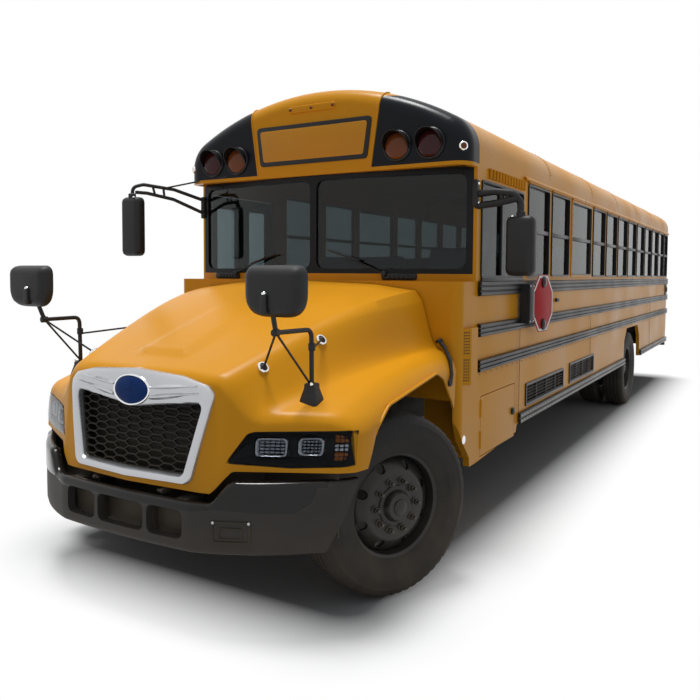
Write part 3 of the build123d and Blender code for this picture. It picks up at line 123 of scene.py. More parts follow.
def corner_arc(before, here, after, radius, share, steps):
    """Points round a corner, bent to a radius that takes up to a share of each side."""
    before, here, after = Vector(before), Vector(here), Vector(after)
    back, on = before - here, after - here
    reach = min(radius / math.tan(back.angle(on) / 2), share * back.length, share * on.length)
    start, end = here + back.normalized() * reach, here + on.normalized() * reach
    places = [k / steps for k in range(steps + 1)]
    return [start * (1 - t) ** 2 + here * 2 * t * (1 - t) + end * t ** 2 for t in places]


def rounded(points, radius, steps=5):
    """A closed outline with its corners rounded by one radius, or by a tuple of one each."""
    out = []
    count = len(points)
    radii = radius if isinstance(radius, tuple) else [radius] * count
    for i, here in enumerate(points):
        out += corner_arc(points[i - 1], here, points[(i + 1) % count], radii[i], 0.49, steps)
    return out


def rounded_box(u0, v0, u1, v1, radius, steps=5):
    """A rounded rectangle as an outline of (u, v) points."""
    return rounded([(u0, v0), (u1, v0), (u1, v1), (u0, v1)], radius, steps)


def inset_box(low, high, inset, radius):
    """A rounded rectangle set in from its two corners."""
    return rounded_box(low[0] + inset, low[1] + inset, high[0] - inset, high[1] - inset, radius)


def axis_frame(centre, axis):
    """A matrix whose Z runs along the axis from the centre."""
    return Matrix.Translation(centre) @ Vector(axis).to_track_quat("Z", "Y").to_matrix().to_4x4()


def smooth_step(low, high, value):
    """0 below low, 1 above high and an eased rise between."""
    t = min(max((value - low) / (high - low), 0.0), 1.0)
    return t * t * (3 - 2 * t)


def through(value, knots):
    """Straight interpolation through (place, height) knots."""
    for (a, low), (b, high) in zip(knots, knots[1:]):
        if value <= b:
            return low + (high - low) * max(0.0, (value - a) / (b - a))
    return knots[-1][1]


class Shape:
    """Collects the faces of one piece before it becomes an object."""

    def __init__(self):
        self.bm = bmesh.new()

    def skin(self, rows, wrap=False, loop=False, mat=0):
        """Quads between rows of points: wrap closes each row, loop joins the last row to the first."""
        rings = [[self.bm.verts.new(point) for point in row] for row in rows]
        pairs = list(zip(rings, rings[1:])) + ([(rings[-1], rings[0])] if loop else [])
        for first, second in pairs:
            count = len(first)
            for i in range(count if wrap else count - 1):
                j = (i + 1) % count
                face = self.bm.faces.new((first[i], first[j], second[j], second[i]))
                face.material_index = mat
        return rings

    def close(self, ring, mat=0):
        """One face across a ring."""
        face = self.bm.faces.new(ring)
        face.material_index = mat

    def tube_of(self, rows, mat=0):
        """A closed skin through rings of points, with both ends filled."""
        rings = self.skin(rows, wrap=True, mat=mat)
        self.close(rings[0], mat)
        self.close(list(reversed(rings[-1])), mat)

    def lathe(self, profile, centre, axis, count=40, loop=False, mat=0, relief=None):
        """Turns (along, radius) points about an axis; relief(i, k) is added to a radius."""
        place = axis_frame(centre, axis)
        rows = []
        for i, (along, radius) in enumerate(profile):
            row = []
            for k in range(count):
                angle = math.tau * k / count
                reach = radius + (relief(i, k) if relief else 0.0)
                row.append(place @ Vector((reach * math.cos(angle), reach * math.sin(angle), along)))
            rows.append(row)
        if loop:
            self.skin(rows, wrap=True, loop=True, mat=mat)
        else:
            self.tube_of(rows, mat)

    def rod(self, points, radius, count=10, mat=0):
        """A round bar through points."""
        points = [Vector(p) for p in points]
        rows = []
        side = None
        for i, point in enumerate(points):
            ahead = (points[min(i + 1, len(points) - 1)] - points[max(i - 1, 0)]).normalized()
            if side is None:
                side = ahead.orthogonal().normalized()
            side = (side - ahead * side.dot(ahead)).normalized()
            across = ahead.cross(side)
            rows.append([point + side * (radius * math.cos(math.tau * k / count))
                         + across * (radius * math.sin(math.tau * k / count)) for k in range(count)])
        self.tube_of(rows, mat)

    def bent(self, points, radius, bend, count=10, mat=0):
        """A round bar with its corners bent to a radius."""
        path = [Vector(points[0])]
        for before, here, after in zip(points, points[1:], points[2:]):
            path += corner_arc(before, here, after, bend, 0.45, 6)
        path.append(Vector(points[-1]))
        self.rod(path, radius, count, mat)

    def plate(self, outline, depth, bevel=0.0, mat=0):
        """A flat outline of 3D points given a depth vector, with its edges rounded."""
        part = bmesh.new()
        verts = [part.verts.new(p) for p in outline]
        face = part.faces.new(verts)
        made = bmesh.ops.extrude_face_region(part, geom=[face])
        moved = [v for v in made["geom"] if isinstance(v, bmesh.types.BMVert)]
        bmesh.ops.translate(part, vec=Vector(depth), verts=moved)
        part.normal_update()
        if bevel:
            sharp = [e for e in part.edges if e.calc_face_angle(0) > math.radians(50)]
            bmesh.ops.bevel(part, geom=sharp, offset=bevel, segments=2, affect="EDGES",
                            profile=0.5, clamp_overlap=True)
        for each in part.faces:
            each.material_index = mat
        self.take(part)

    def block(self, low, high, bevel=0.0, mat=0):
        """A box between two corners with rounded edges."""
        low, high = Vector(low), Vector(high)
        corners = ((low.x, low.y), (high.x, low.y), (high.x, high.y), (low.x, high.y))
        self.plate([(x, y, low.z) for x, y in corners], (0, 0, high.z - low.z), bevel, mat)

    def dome(self, centre, axis, radius, height, count=8, mat=0):
        """A low domed head, such as a rivet."""
        self.lathe([(0.0, radius), (height * 0.6, radius * 0.8), (height, radius * 0.35)],
                   centre, axis, count, mat=mat)

    def take(self, part):
        """Moves another mesh's faces into this one."""
        mesh = bpy.data.meshes.new("passing")
        part.to_mesh(mesh)
        part.free()
        self.bm.from_mesh(mesh)
        bpy.data.meshes.remove(mesh)


def make(name, shape, materials, body, replaces=(), crease=35, turn_out=True):
    """Turns a shape into an object that rides on a body."""
    if turn_out:
        bmesh.ops.recalc_face_normals(shape.bm, faces=shape.bm.faces)
    mesh = bpy.data.meshes.new(name)
    shape.bm.to_mesh(mesh)
    shape.bm.free()
    for material in materials:
        mesh.materials.append(bpy.data.materials["bus_" + material])
    mesh.shade_smooth()
    mesh.set_sharp_from_angle(angle=math.radians(crease))
    obj = bpy.data.objects.new(name, mesh)
    bpy.context.scene.collection.objects.link(obj)
    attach(obj, body)
    if replaces:
        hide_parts(*replaces)
    return obj


def apply_modifiers(obj, crease=35):
    """Bakes an object's modifiers into its mesh."""
    bpy.context.view_layer.update()
    graph = bpy.context.evaluated_depsgraph_get()
    mesh = bpy.data.meshes.new_from_object(obj.evaluated_get(graph))
    obj.modifiers.clear()
    old = obj.data
    obj.data = mesh
    bpy.data.meshes.remove(old)
    mesh.shade_smooth()
    mesh.set_sharp_from_angle(angle=math.radians(crease))


def thicken(obj, thickness, offset, crease=35):
    """Gives a skin its thickness, to the side that the offset says."""
    step = obj.modifiers.new("skin", "SOLIDIFY")
    step.thickness = thickness
    step.offset = offset
    apply_modifiers(obj, crease)


def cut(obj, shapes, crease=35, solver="MANIFOLD"):
    """Takes closed shapes out of an object."""
    cutters = []
    for shape in shapes:
        bmesh.ops.recalc_face_normals(shape.bm, faces=shape.bm.faces)
        mesh = bpy.data.meshes.new("cutter")
        shape.bm.to_mesh(mesh)
        shape.bm.free()
        cutter = bpy.data.objects.new("cutter", mesh)
        bpy.context.scene.collection.objects.link(cutter)
        step = obj.modifiers.new("cut", "BOOLEAN")
        step.operation = "DIFFERENCE"
        step.solver = solver
        step.object = cutter
        cutters.append(cutter)
    apply_modifiers(obj, crease)
    for cutter in cutters:
        mesh = cutter.data
        bpy.data.objects.remove(cutter)
        bpy.data.meshes.remove(mesh)


# Materials


def new_group(name, inputs, outputs):
    """An empty shader node group with number sockets."""
    group = bpy.data.node_groups.new(name, "ShaderNodeTree")
    for label, default in inputs.items():
        socket = group.interface.new_socket(label, in_out="INPUT", socket_type="NodeSocketFloat")
        socket.default_value = default
    for label in outputs:
        group.interface.new_socket(label, in_out="OUTPUT", socket_type="NodeSocketFloat")
    return group, group.nodes.new("NodeGroupInput"), group.nodes.new("NodeGroupOutput")


def texture(tree, kind, **values):
    """A texture node in object space."""
    node = tree.nodes.new("ShaderNodeTex" + kind)
    place = tree.nodes.new("ShaderNodeTexCoord")
    tree.links.new(place.outputs["Object"], node.inputs["Vector"])
    for label, value in values.items():
        node.inputs[label].default_value = value
    return node


def object_axes(tree):
    """The X, Y and Z of a point in object space."""
    place = tree.nodes.new("ShaderNodeTexCoord")
    split = tree.nodes.new("ShaderNodeSeparateXYZ")
    tree.links.new(place.outputs["Object"], split.inputs["Vector"])
    return split.outputs


def bump(tree, height, strength, distance):
    """Puts a bump from a height on a material's shader."""
    node = tree.nodes.new("ShaderNodeBump")
    node.inputs["Strength"].default_value = strength
    node.inputs["Distance"].default_value = distance
    tree.links.new(height, node.inputs["Height"])
    tree.links.new(node.outputs["Normal"], tree.nodes["Principled BSDF"].inputs["Normal"])


def grain_group():
    """Object-space noise: a soft mottle and a fine grain for bump."""
    group, enter, leave = new_group("Mottle And Grain", {"Mottle Scale": 2.0, "Grain Scale": 250.0},
                                    ("Mottle", "Grain"))
    for label, detail in (("Mottle", 5.0), ("Grain", 2.0)):
        noise = texture(group, "Noise", Detail=detail)
        group.links.new(enter.outputs[label + " Scale"], noise.inputs["Scale"])
        group.links.new(noise.outputs["Fac"], leave.inputs[label])


def dust_group():
    """Road dust that thickens towards the ground and breaks up in patches."""
    group, enter, leave = new_group("Road Dust", {"Clean Height": 1.3, "Patch Scale": 6.0, "Amount": 0.3},
                                    ("Dust",))
    noise = texture(group, "Noise", Detail=6.0)
    group.links.new(enter.outputs["Patch Scale"], noise.inputs["Scale"])
    rise = map_value(group, object_axes(group)["Z"], 1.0, 0.0, 0.2)
    group.links.new(enter.outputs["Clean Height"], rise.node.inputs["From Max"])
    patches = math_node(group, "MULTIPLY", rise, noise.outputs["Fac"])
    share = math_node(group, "MULTIPLY", patches, enter.outputs["Amount"])
    share.node.use_clamp = True
    group.links.new(share, leave.inputs["Dust"])


def place_group(tree, name, **values):
    """Places a shared group in a material with its own values."""
    node = tree.nodes.new("ShaderNodeGroup")
    node.node_tree = bpy.data.node_groups[name]
    for label, value in values.items():
        node.inputs[label.replace("_", " ")].default_value = value
    return node


def blend_colour(tree, mask, first, second):
    """A colour node going from one colour to another by a mask."""
    mix = tree.nodes.new("ShaderNodeMix")
    mix.data_type = "RGBA"
    tree.links.new(mask, mix.inputs["Factor"])
    for socket, colour in ((mix.inputs["A"], first), (mix.inputs["B"], second)):
        if isinstance(colour, bpy.types.NodeSocket):
            tree.links.new(colour, socket)
        else:
            socket.default_value = (*colour, 1.0)
    return mix.outputs["Result"]


def map_value(tree, value, low, high, from_low=0.3, from_high=0.7):
    """A value stretched to another range."""
    node = tree.nodes.new("ShaderNodeMapRange")
    for label, number in (("From Min", from_low), ("From Max", from_high), ("To Min", low), ("To Max", high)):
        node.inputs[label].default_value = number
    tree.links.new(value, node.inputs["Value"])
    return node.outputs["Result"]


DUST_COLOUR, GRAIN_DEPTH = (0.2, 0.155, 0.105), 0.002


def finish(name, colour, roughness, metallic=0.0, mottle=0.12, mottle_scale=2.0, grain=0.0, grain_scale=250.0,
           dust=0.0, clean_height=1.3, coat=0.0, coat_roughness=0.06, specular=0.5, spread=0.08, ior=1.5):
    """A surface with mottled colour, varied gloss, grain bump and road dust."""
    material = bpy.data.materials.new("bus_" + name)
    material.use_nodes = True
    tree = material.node_tree
    shader = tree.nodes["Principled BSDF"]
    noise = place_group(tree, "Mottle And Grain", Mottle_Scale=mottle_scale, Grain_Scale=grain_scale)
    darker = tuple(c * (1 - mottle) for c in colour)
    lighter = tuple(min(1.0, c * (1 + mottle)) for c in colour)
    base = blend_colour(tree, map_value(tree, noise.outputs["Mottle"], 0.0, 1.0), darker, lighter)
    smoothest, roughest = max(0.02, roughness - spread), min(1.0, roughness + spread)
    rough = map_value(tree, noise.outputs["Mottle"], smoothest, roughest)
    if dust:
        dirt = place_group(tree, "Road Dust", Clean_Height=clean_height, Amount=dust)
        base = blend_colour(tree, dirt.outputs["Dust"], base, DUST_COLOUR)
    tree.links.new(base, shader.inputs["Base Color"])
    tree.links.new(rough, shader.inputs["Roughness"])
    for label, value in (("Metallic", metallic), ("Specular IOR Level", specular), ("IOR", ior),
                         ("Coat Weight", coat), ("Coat Roughness", coat_roughness)):
        shader.inputs[label].default_value = value
    if grain:
        bump(tree, noise.outputs["Grain"], grain, GRAIN_DEPTH)
    return material


def painted_mask(name, first, second, edge):
    """Paint in two colours, split where edge(tree, x, z) puts out 1."""
    tree = finish(name, first, 0.3, mottle=0.03, mottle_scale=1.5, grain=0.02, ior=1.22).node_tree
    colour = tree.nodes["Principled BSDF"].inputs["Base Color"]
    axes = object_axes(tree)
    mask = edge(tree, axes["X"], axes["Z"])
    tree.links.new(blend_colour(tree, mask, colour.links[0].from_socket, second), colour)


def math_node(tree, operation, first, second=0.0):
    """One arithmetic step on sockets or numbers."""
    node = tree.nodes.new("ShaderNodeMath")
    node.operation = operation
    for socket, value in zip(node.inputs, (first, second)):
        if isinstance(value, bpy.types.NodeSocket):
            tree.links.new(value, socket)
        else:
            socket.default_value = value
    return node.outputs["Value"]


# The cap's dark corners start outside a seam that leans outwards with height.
CAP_SEAM_X, CAP_SEAM_Z, CAP_SEAM_LEAN = 0.49, 2.555, 0.147
CAP_LIP_Z, CAP_CROWN_Z = 2.585, 3.075


def cap_corner(tree, x, z):
    """1 in the dark corner panels of the front cap."""
    seam = math_node(tree, "ADD", math_node(tree, "MULTIPLY", math_node(tree, "SUBTRACT", z, CAP_SEAM_Z),
                                            CAP_SEAM_LEAN), CAP_SEAM_X)
    outside = math_node(tree, "GREATER_THAN", math_node(tree, "ABSOLUTE", x), seam)
    above = math_node(tree, "GREATER_THAN", z, CAP_LIP_Z)
    below = math_node(tree, "LESS_THAN", z, CAP_CROWN_Z)
    return math_node(tree, "MULTIPLY", outside, math_node(tree, "MULTIPLY", above, below))


SCREEN_LOW, SCREEN_HALF = 1.84, 1.196


def screen_surround(tree, x, z):
    """1 on the black border round the windshield."""
    inside = math_node(tree, "LESS_THAN", math_node(tree, "ABSOLUTE", x), SCREEN_HALF)
    above = math_node(tree, "GREATER_THAN", z, SCREEN_LOW)
    return math_node(tree, "MULTIPLY", inside, above)


def glass(name, tint, ior, specular=0.5):
    """Tinted glass with faint smears in its gloss."""
    material = finish(name, tint, 0.02, mottle=0.06, mottle_scale=1.2, spread=0.015, specular=specular,
                      ior=ior)
    material.node_tree.nodes["Principled BSDF"].inputs["Transmission Weight"].default_value = 1.0


def lens(name, colour):
    """Moulded lamp lens with a fine prism pattern."""
    tree = finish(name, colour, 0.12, mottle=0.05, coat=0.1, coat_roughness=0.05, specular=0.15).node_tree
    bump(tree, texture(tree, "Voronoi", Scale=95.0, Randomness=0.0).outputs["Distance"], 0.35, 0.003)


def build_materials(colours):
    """Every finish on the bus."""
    grain_group()
    dust_group()
    yellow, black = tuple(colours.yellow), tuple(colours.black)
    finish("school_yellow", yellow, 0.34, mottle=0.03, mottle_scale=1.5, grain=0.02, grain_scale=180,
           dust=0.16, clean_height=1.1, specular=0.5, ior=1.22)
    painted_mask("cap_paint", yellow, tuple(colours.corner_dark), cap_corner)
    painted_mask("screen_paint", yellow, black, screen_surround)
    finish("rail_black", black, 0.36, mottle=0.3, grain=0.05, grain_scale=300, dust=0.25, clean_height=1.4,
           specular=0.25)
    finish("gloss_black", tuple(0.6 * c for c in black), 0.16, mottle=0.2, dust=0.1, coat=0.12, specular=0.2)
    finish("moulded_black", (0.014, 0.014, 0.015), 0.5, mottle=0.25, grain=0.18, grain_scale=420,
           specular=0.3)
    finish("chassis_black", (0.018, 0.017, 0.016), 0.62, mottle=0.35, mottle_scale=7, grain=0.2,
           grain_scale=90, dust=0.75, clean_height=1.2, specular=0.2)
    finish("cast_iron", (0.06, 0.057, 0.053), 0.6, metallic=0.7, mottle=0.3, mottle_scale=9, grain=0.35,
           grain_scale=160, dust=0.5)
    finish("bare_steel", (0.42, 0.42, 0.43), 0.34, metallic=1.0, mottle=0.18, mottle_scale=14, grain=0.08,
           dust=0.3)
    finish("chrome", (0.78, 0.79, 0.8), 0.09, metallic=1.0, mottle=0.05, spread=0.04)
    finish("grille_silver", tuple(colours.silver), 0.28, metallic=0.75, mottle=0.06, grain=0.03, coat=0.6)
    finish("tyre_rubber", (0.022, 0.022, 0.023), 0.7, mottle=0.3, mottle_scale=8, grain=0.3, grain_scale=260,
           dust=0.45, clean_height=1.1, specular=0.2)
    finish("wheel_black", (0.018, 0.018, 0.019), 0.38, mottle=0.3, mottle_scale=10, grain=0.08, dust=0.35,
           clean_height=1.0, specular=0.3)
    finish("seat_vinyl", tuple(colours.vinyl), 0.5, mottle=0.18, mottle_scale=6, grain=0.35, grain_scale=500)
    finish("floor_rubber", (0.035, 0.035, 0.036), 0.7, mottle=0.25, mottle_scale=8, grain=0.4,
           grain_scale=120)
    finish("stop_red", (0.42, 0.01, 0.014), 0.5, mottle=0.08, grain=0.08, grain_scale=700, specular=0.15)
    finish("sign_white", (0.78, 0.78, 0.76), 0.4, mottle=0.05, grain=0.08, grain_scale=700)
    finish("mirror_glass", (0.8, 0.82, 0.84), 0.03, metallic=1.0, mottle=0.03, spread=0.015)
    finish("lamp_bowl", (0.86, 0.87, 0.88), 0.12, metallic=1.0, mottle=0.05, spread=0.05)
    finish("lamp_facet", (0.62, 0.63, 0.66), 0.18, metallic=1.0, mottle=0.05, spread=0.05)
    finish("marker_amber", (0.62, 0.2, 0.03), 0.25, mottle=0.05)
    finish("bumper_matte", tuple(colours.bumper), 0.62, mottle=0.15, mottle_scale=3, grain=0.15,
           grain_scale=300, dust=0.3, clean_height=0.9, specular=0.25)
    # A darker copy of the yellow: painted shade for the panel seams' grooves and for the rivets under the
    # lowest band.
    finish("seam_painted_shade", (0.09, 0.035, 0.004), 0.5, mottle=0.1)
    finish("sign_yellow", tuple(0.9 * c for c in yellow), 0.45, mottle=0.04, grain=0.05, grain_scale=600,
           specular=0.3)
    finish("emblem_blue", (0.012, 0.04, 0.16), 0.3, mottle=0.1, specular=0.15, ior=1.25)
    finish("seat_piping", tuple(0.6 * c for c in colours.vinyl), 0.42, mottle=0.1)
    glass("tinted_glass", tuple(colours.glass), ior=1.22)
    glass("screen_glass", (0.24, 0.29, 0.3), ior=1.3)
    glass("cover_glass", (0.4, 0.42, 0.45), ior=1.1, specular=0.2)
    lens("amber_lens", (0.17, 0.045, 0.008))
    lens("red_lens", (0.05, 0.006, 0.008))


NODE_FINISH = {
    "school_yellow": ("side_wall_left", "side_wall_right", "entrance_frame", "roof", "cowl", "rear_wall",
                      "hood", "emergency_door", "battery_door"),
    "cap_paint": ("front_cap",),
    "screen_paint": ("windshield_frame",),
    "rail_black": ("rub_rails", "rear_bumper", "skirt_grilles", "entrance_leaf_front", "entrance_leaf_rear"),
    "bumper_matte": ("front_bumper",),
    "gloss_black": ("lamp_visors",),
    "moulded_black": ("side_mirrors", "fender_mirrors", "stop_arm_box", "dashboard", "headlights"),
    "chassis_black": ("frame_rails", "fuel_tank", "leaf_springs", "front_axle", "rear_axle", "tow_eyes",
                      "engine", "grille_mesh"),
    "cast_iron": ("knuckle_left", "knuckle_right", "driveline"),
    "bare_steel": ("exhaust",),
    "grille_silver": ("grille_surround",),
    "tyre_rubber": ("front_tyre_left", "front_tyre_right", "rear_tyres_left", "rear_tyres_right"),
    "wheel_black": ("front_wheel_left", "front_wheel_right", "rear_wheels_left", "rear_wheels_right"),
    "tinted_glass": ("cabin_glass", "emergency_glass"),
    "screen_glass": ("windshield", "entrance_glass_front", "entrance_glass_rear"),
    "amber_lens": ("lenses_amber",),
    "red_lens": ("lenses_red",),
    "stop_red": ("stop_sign",),
    "seat_vinyl": ("seats", "seat_backs"),
    "floor_rubber": ("floor_pan",),
}
NODE_CREASE = 32


def paint_nodes():
    """Gives each solid of the frame its finish."""
    for material, names in NODE_FINISH.items():
        for name in names:
            mesh = NODES[name].data
            mesh.materials.clear()
            mesh.materials.append(bpy.data.materials["bus_" + material])
            mesh.polygons.foreach_set("material_index", [0] * len(mesh.polygons))
            mesh.shade_smooth()
            mesh.set_sharp_from_angle(angle=math.radians(NODE_CREASE))


# Tyres and wheels

SIDEWALL = ((0.1, 0.289), (0.114, 0.3), (0.119, 0.316), (0.127, 0.34), (0.1355, 0.375), (0.1372, 0.379),
            (0.1385, 0.384), (0.1398, 0.415), (0.1385, 0.44), (0.1342, 0.466), (0.135, 0.47), (0.1322, 0.476),
            (0.1282, 0.49), (0.12, 0.504), (0.109, 0.5135))
RIB_EDGES = (0.109, 0.076, 0.067, 0.03, 0.021)
TREAD_CROWN, TREAD_DROP = 0.5245, 0.0065
TREAD_COUNT, LUG_PERIOD, LUG_DEPTH = 180, 3, 0.005


def tyre_profile(groove):
    """The tyre's section from one bead over the tread to the other."""
    half = list(SIDEWALL)
    for i, along in enumerate(RIB_EDGES[1:]):
        radius = TREAD_CROWN - TREAD_DROP * (along / RIB_EDGES[0]) ** 2
        pair = [(along, radius), (along - 0.001, radius - groove)]
        half += pair if i % 2 == 0 else [(along + 0.001, radius - groove), (along, radius)]
    return half + [(-a, r) for a, r in reversed(half)] + [(-0.09, 0.297), (0.09, 0.297)]


def build_tyres(sizes):
    """Ribbed tyres with notched shoulders and moulded sidewall rings."""
    profile = tyre_profile(sizes.groove)
    shoulder = {i for i, (a, r) in enumerate(profile) if 0.1 < abs(a) < 0.125 and r > 0.5}

    def notch(i, k):
        return -LUG_DEPTH if i in shoulder and k % LUG_PERIOD == 0 else 0.0

    for name, centres, axis in wheel_places():
        shape = Shape()
        for centre in centres:
            shape.lathe(profile, centre, axis, TREAD_COUNT, loop=True, relief=notch)
        node = name.replace("wheel", "tyre")
        make(node + "_ribbed", shape, ["tyre_rubber"], name, [node])


def wheel_places():
    """Each wheel body with its tyre centres and its outward axis."""
    places = []
    for side, label in SIDE_NAMES:
        for kind in ("front_wheel_", "rear_wheels_"):
            name = kind + label
            joint = JOINTS[name + "_spin"]
            axis = Vector(joint["axis"]).normalized()
            if axis.x * side < 0:
                axis = -axis
            low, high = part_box(name.replace("wheel", "tyre"))
            middle = (low + high) / 2
            if kind == "front_wheel_":
                centres = [middle]
            else:
                gap = ((high - low).x - 2 * TYRE_HALF) / 2
                centres = [middle + axis * gap, middle - axis * gap]
            places.append((name, centres, axis))
    return places


TYRE_HALF = 0.14
RIM = ((-0.106, 0.304), (-0.112, 0.3), (-0.106, 0.29), (-0.098, 0.282), (-0.06, 0.276), (0.06, 0.276),
       (0.098, 0.282), (0.106, 0.29), (0.112, 0.3), (0.106, 0.304), (0.098, 0.298), (0.06, 0.29),
       (-0.06, 0.29), (-0.098, 0.298))
DISC = ((0.03, 0.278), (0.046, 0.268), (0.066, 0.24), (0.09, 0.212), (0.098, 0.2), (0.1, 0.19), (0.1, 0.112),
        (0.088, 0.11), (0.088, 0.19), (0.06, 0.222), (0.034, 0.25), (0.016, 0.268))
STUD_CIRCLE, STUD_COUNT = 0.143, 10
HAND_HOLES, HAND_HOLE_CIRCLE, HAND_HOLE = 8, 0.232, ((-0.12, 0.027), (0.12, 0.027))
# Flange, nut and stud end, each with its number of sides.
NUT_PROFILES = ((((0.0, 0.023), (0.005, 0.022), (0.007, 0.0185)), 16),
                (((0.004, 0.0185), (0.024, 0.0185), (0.027, 0.016)), 6),
                (((0.025, 0.0105), (0.042, 0.0105), (0.044, 0.009)), 10))
FRONT_FACE, REAR_FACE = 0.1, -0.086
FRONT_HUB = ((0.06, 0.118), (0.106, 0.116), (0.11, 0.11), (0.11, 0.092), (0.118, 0.088), (0.14, 0.08),
             (0.146, 0.074), (0.146, 0.046), (0.152, 0.043), (0.158, 0.03), (0.159, 0.01))
REAR_HUB = ((-0.16, 0.118), (-0.08, 0.116), (-0.074, 0.11), (-0.02, 0.104), (0.06, 0.1), (0.066, 0.094),
            (0.066, 0.082), (0.078, 0.08), (0.082, 0.074), (0.083, 0.01))
SHAFT_BOLTS, SHAFT_CIRCLE, SHAFT_FACE = 8, 0.066, 0.082
SHAFT_BOLT = ((0.0, 0.01), (0.009, 0.01), (0.011, 0.008))


def ring_spots(centre, axis, count, radius, along, turn=0.0):
    """Even places on a circle round an axis, turned by a share of a step."""
    place = axis_frame(centre, axis)
    angles = [math.tau * (k + turn) / count for k in range(count)]
    return [place @ Vector((radius * math.cos(a), radius * math.sin(a), along)) for a in angles]


def wheel_nuts(shape, centre, axis, face):
    """Flanged nuts and stud ends round the hub."""
    for spot in ring_spots(centre, axis, STUD_COUNT, STUD_CIRCLE, face):
        for profile, count in NUT_PROFILES:
            shape.lathe(profile, spot, axis, count)


def build_wheels():
    """Disc wheels with hand holes, nuts and hub ends."""
    for name, centres, axis in wheel_places():
        front = name.startswith("front")
        shape, holes = Shape(), Shape()
        for index, centre in enumerate(centres):
            flip = 1 if front or index == 1 else -1
            shape.lathe(RIM, centre, axis, 72, loop=True)
            shape.lathe([(a * flip, r) for a, r in DISC], centre, axis, 72, loop=True)
            for spot in ring_spots(centre, axis, HAND_HOLES, HAND_HOLE_CIRCLE, 0, 0.5):
                holes.lathe(HAND_HOLE, spot, axis, 20)
        obj = make(name + "_dressed", shape, ["wheel_black", "bare_steel", "cast_iron"], name,
                   [name])
        cut(obj, [holes])
        hub, outer = Shape(), centres[0]
        wheel_nuts(hub, outer, axis, FRONT_FACE if front else REAR_FACE)
        hub.lathe(FRONT_HUB if front else REAR_HUB, outer, axis, 40, mat=1)
        if not front:
            for spot in ring_spots(outer, axis, SHAFT_BOLTS, SHAFT_CIRCLE, SHAFT_FACE):
                hub.lathe(SHAFT_BOLT, spot, axis, 6)
        make(name + "_hub", hub, ["cast_iron", "wheel_black"], name)


# Nose

NOSE_STATIONS = (-1.11, -0.65, -0.15, 0.625)
NOSE_CROWN = (1.268, 1.425, 1.598, 1.786)
# Shoulder, valley, crest and flank of the nose: distances off centre and heights at each station.
NOSE_RIDGES = (
    ((0.53, 1.222), (0.632, 1.403), (0.77, 1.572), (0.955, 1.722)),
    ((0.61, 0.985), (0.8, 1.18), (0.905, 1.285), (1.025, 1.368)),
    ((1.075, 0.945), (1.095, 1.12), (1.108, 1.242), (1.128, 1.342)),
    ((1.205, 0.88), (1.205, 1.03), (1.205, 1.15), (1.205, 1.252)),
)
NOSE_PLAN = ((0.0, -1.04), (0.48, -1.006), (0.6, -0.98), (1.12, -0.706), (1.186, -0.648), (1.206, -0.515),
             (1.206, 0.9))
NOSE_PLAN_RADII = (0.13, 0.11, 0.07, 0.09, 0.05)
NOSE_LEAN, NOSE_LEAN_FROM = 0.11, 0.7
BROW_SHARE = 0.62
HOOD_REAR, HOOD_SKIN, HOOD_CREASE = 0.625, 0.012, 42


def cubic_through(station, values):
    """The cubic through the nose's four sections, at a station."""
    total = 0.0
    for i, value in enumerate(values):
        term = value
        for j, other in enumerate(NOSE_STATIONS):
            if j != i:
                term *= (station - other) / (NOSE_STATIONS[i] - other)
        total += term
    return total


def nose_keys(station):
    """Centre, brow, shoulder, valley, crest and flank of the section at a station."""
    crown = cubic_through(station, NOSE_CROWN)
    keys = [(cubic_through(station, [x for x, z in ridge]), cubic_through(station, [z for x, z in ridge]))
            for ridge in NOSE_RIDGES]
    shoulder_x, shoulder_z = keys[0]
    brow = (BROW_SHARE * shoulder_x, crown - 0.3 * (crown - shoulder_z))
    return [(0.0, crown), brow] + keys


NOSE_SOFT = 0.042
SCOOP_HALF, SCOOP_RISE, SCOOP_FRONT, SCOOP_FALL, SCOOP_BACK = 0.15, 0.022, -0.8, -0.55, 0.15


def scoop(x, station):
    """The raised tongue in the middle of the hood."""
    rise = smooth_step(SCOOP_FRONT, SCOOP_FRONT + 0.05, station)
    along = rise * (1 - smooth_step(SCOOP_FALL, SCOOP_BACK, station))
    return SCOOP_RISE * along * (1 - smooth_step(SCOOP_HALF, SCOOP_HALF + 0.04, abs(x)))


def nose_height(x, station):
    """Height of the hood, its section softened at the ridges."""
    keys = nose_keys(station)
    knots = [(-keys[1][0], keys[1][1])] + keys + [(1.5, keys[-1][1] - 0.3)]
    steps = 7
    total = sum(through(abs(x) + NOSE_SOFT * (2 * k / (steps - 1) - 1), knots) for k in range(steps))
    return total / steps + scoop(x, station)


def plan_line():
    """The nose's outline from above, from the centre to behind the wheel, with rounded corners."""
    line = [Vector(NOSE_PLAN[0])]
    for before, here, after, radius in zip(NOSE_PLAN, NOSE_PLAN[1:], NOSE_PLAN[2:], NOSE_PLAN_RADII):
        line += corner_arc(before, here, after, radius, 0.48, 6)
    return line + [Vector(NOSE_PLAN[-1])]


PLAN = plan_line()


def plan_station(x):
    """Station of the nose's front at a distance off centre, at the height where its lean starts."""
    return through(abs(x), [(p.x, p.y) for p in PLAN if p.y < 0.0])


def lean(z):
    """How far the front leans back at a height."""
    return NOSE_LEAN * (z - NOSE_LEAN_FROM)


def face_point(x, z, proud=0.0):
    """A point on the nose's front, pushed forward by proud."""
    return at(x, plan_station(x) + lean(z) - proud, z)


def edge_distance(x, station):
    """Distance from the nose's outline."""
    here = Vector((abs(x), station))
    best = 9.0
    for a, b in zip(PLAN, PLAN[1:]):
        span = b - a
        t = min(max((here - a).dot(span) / span.length_squared, 0.0), 1.0)
        best = min(best, (here - a - span * t).length)
    return best


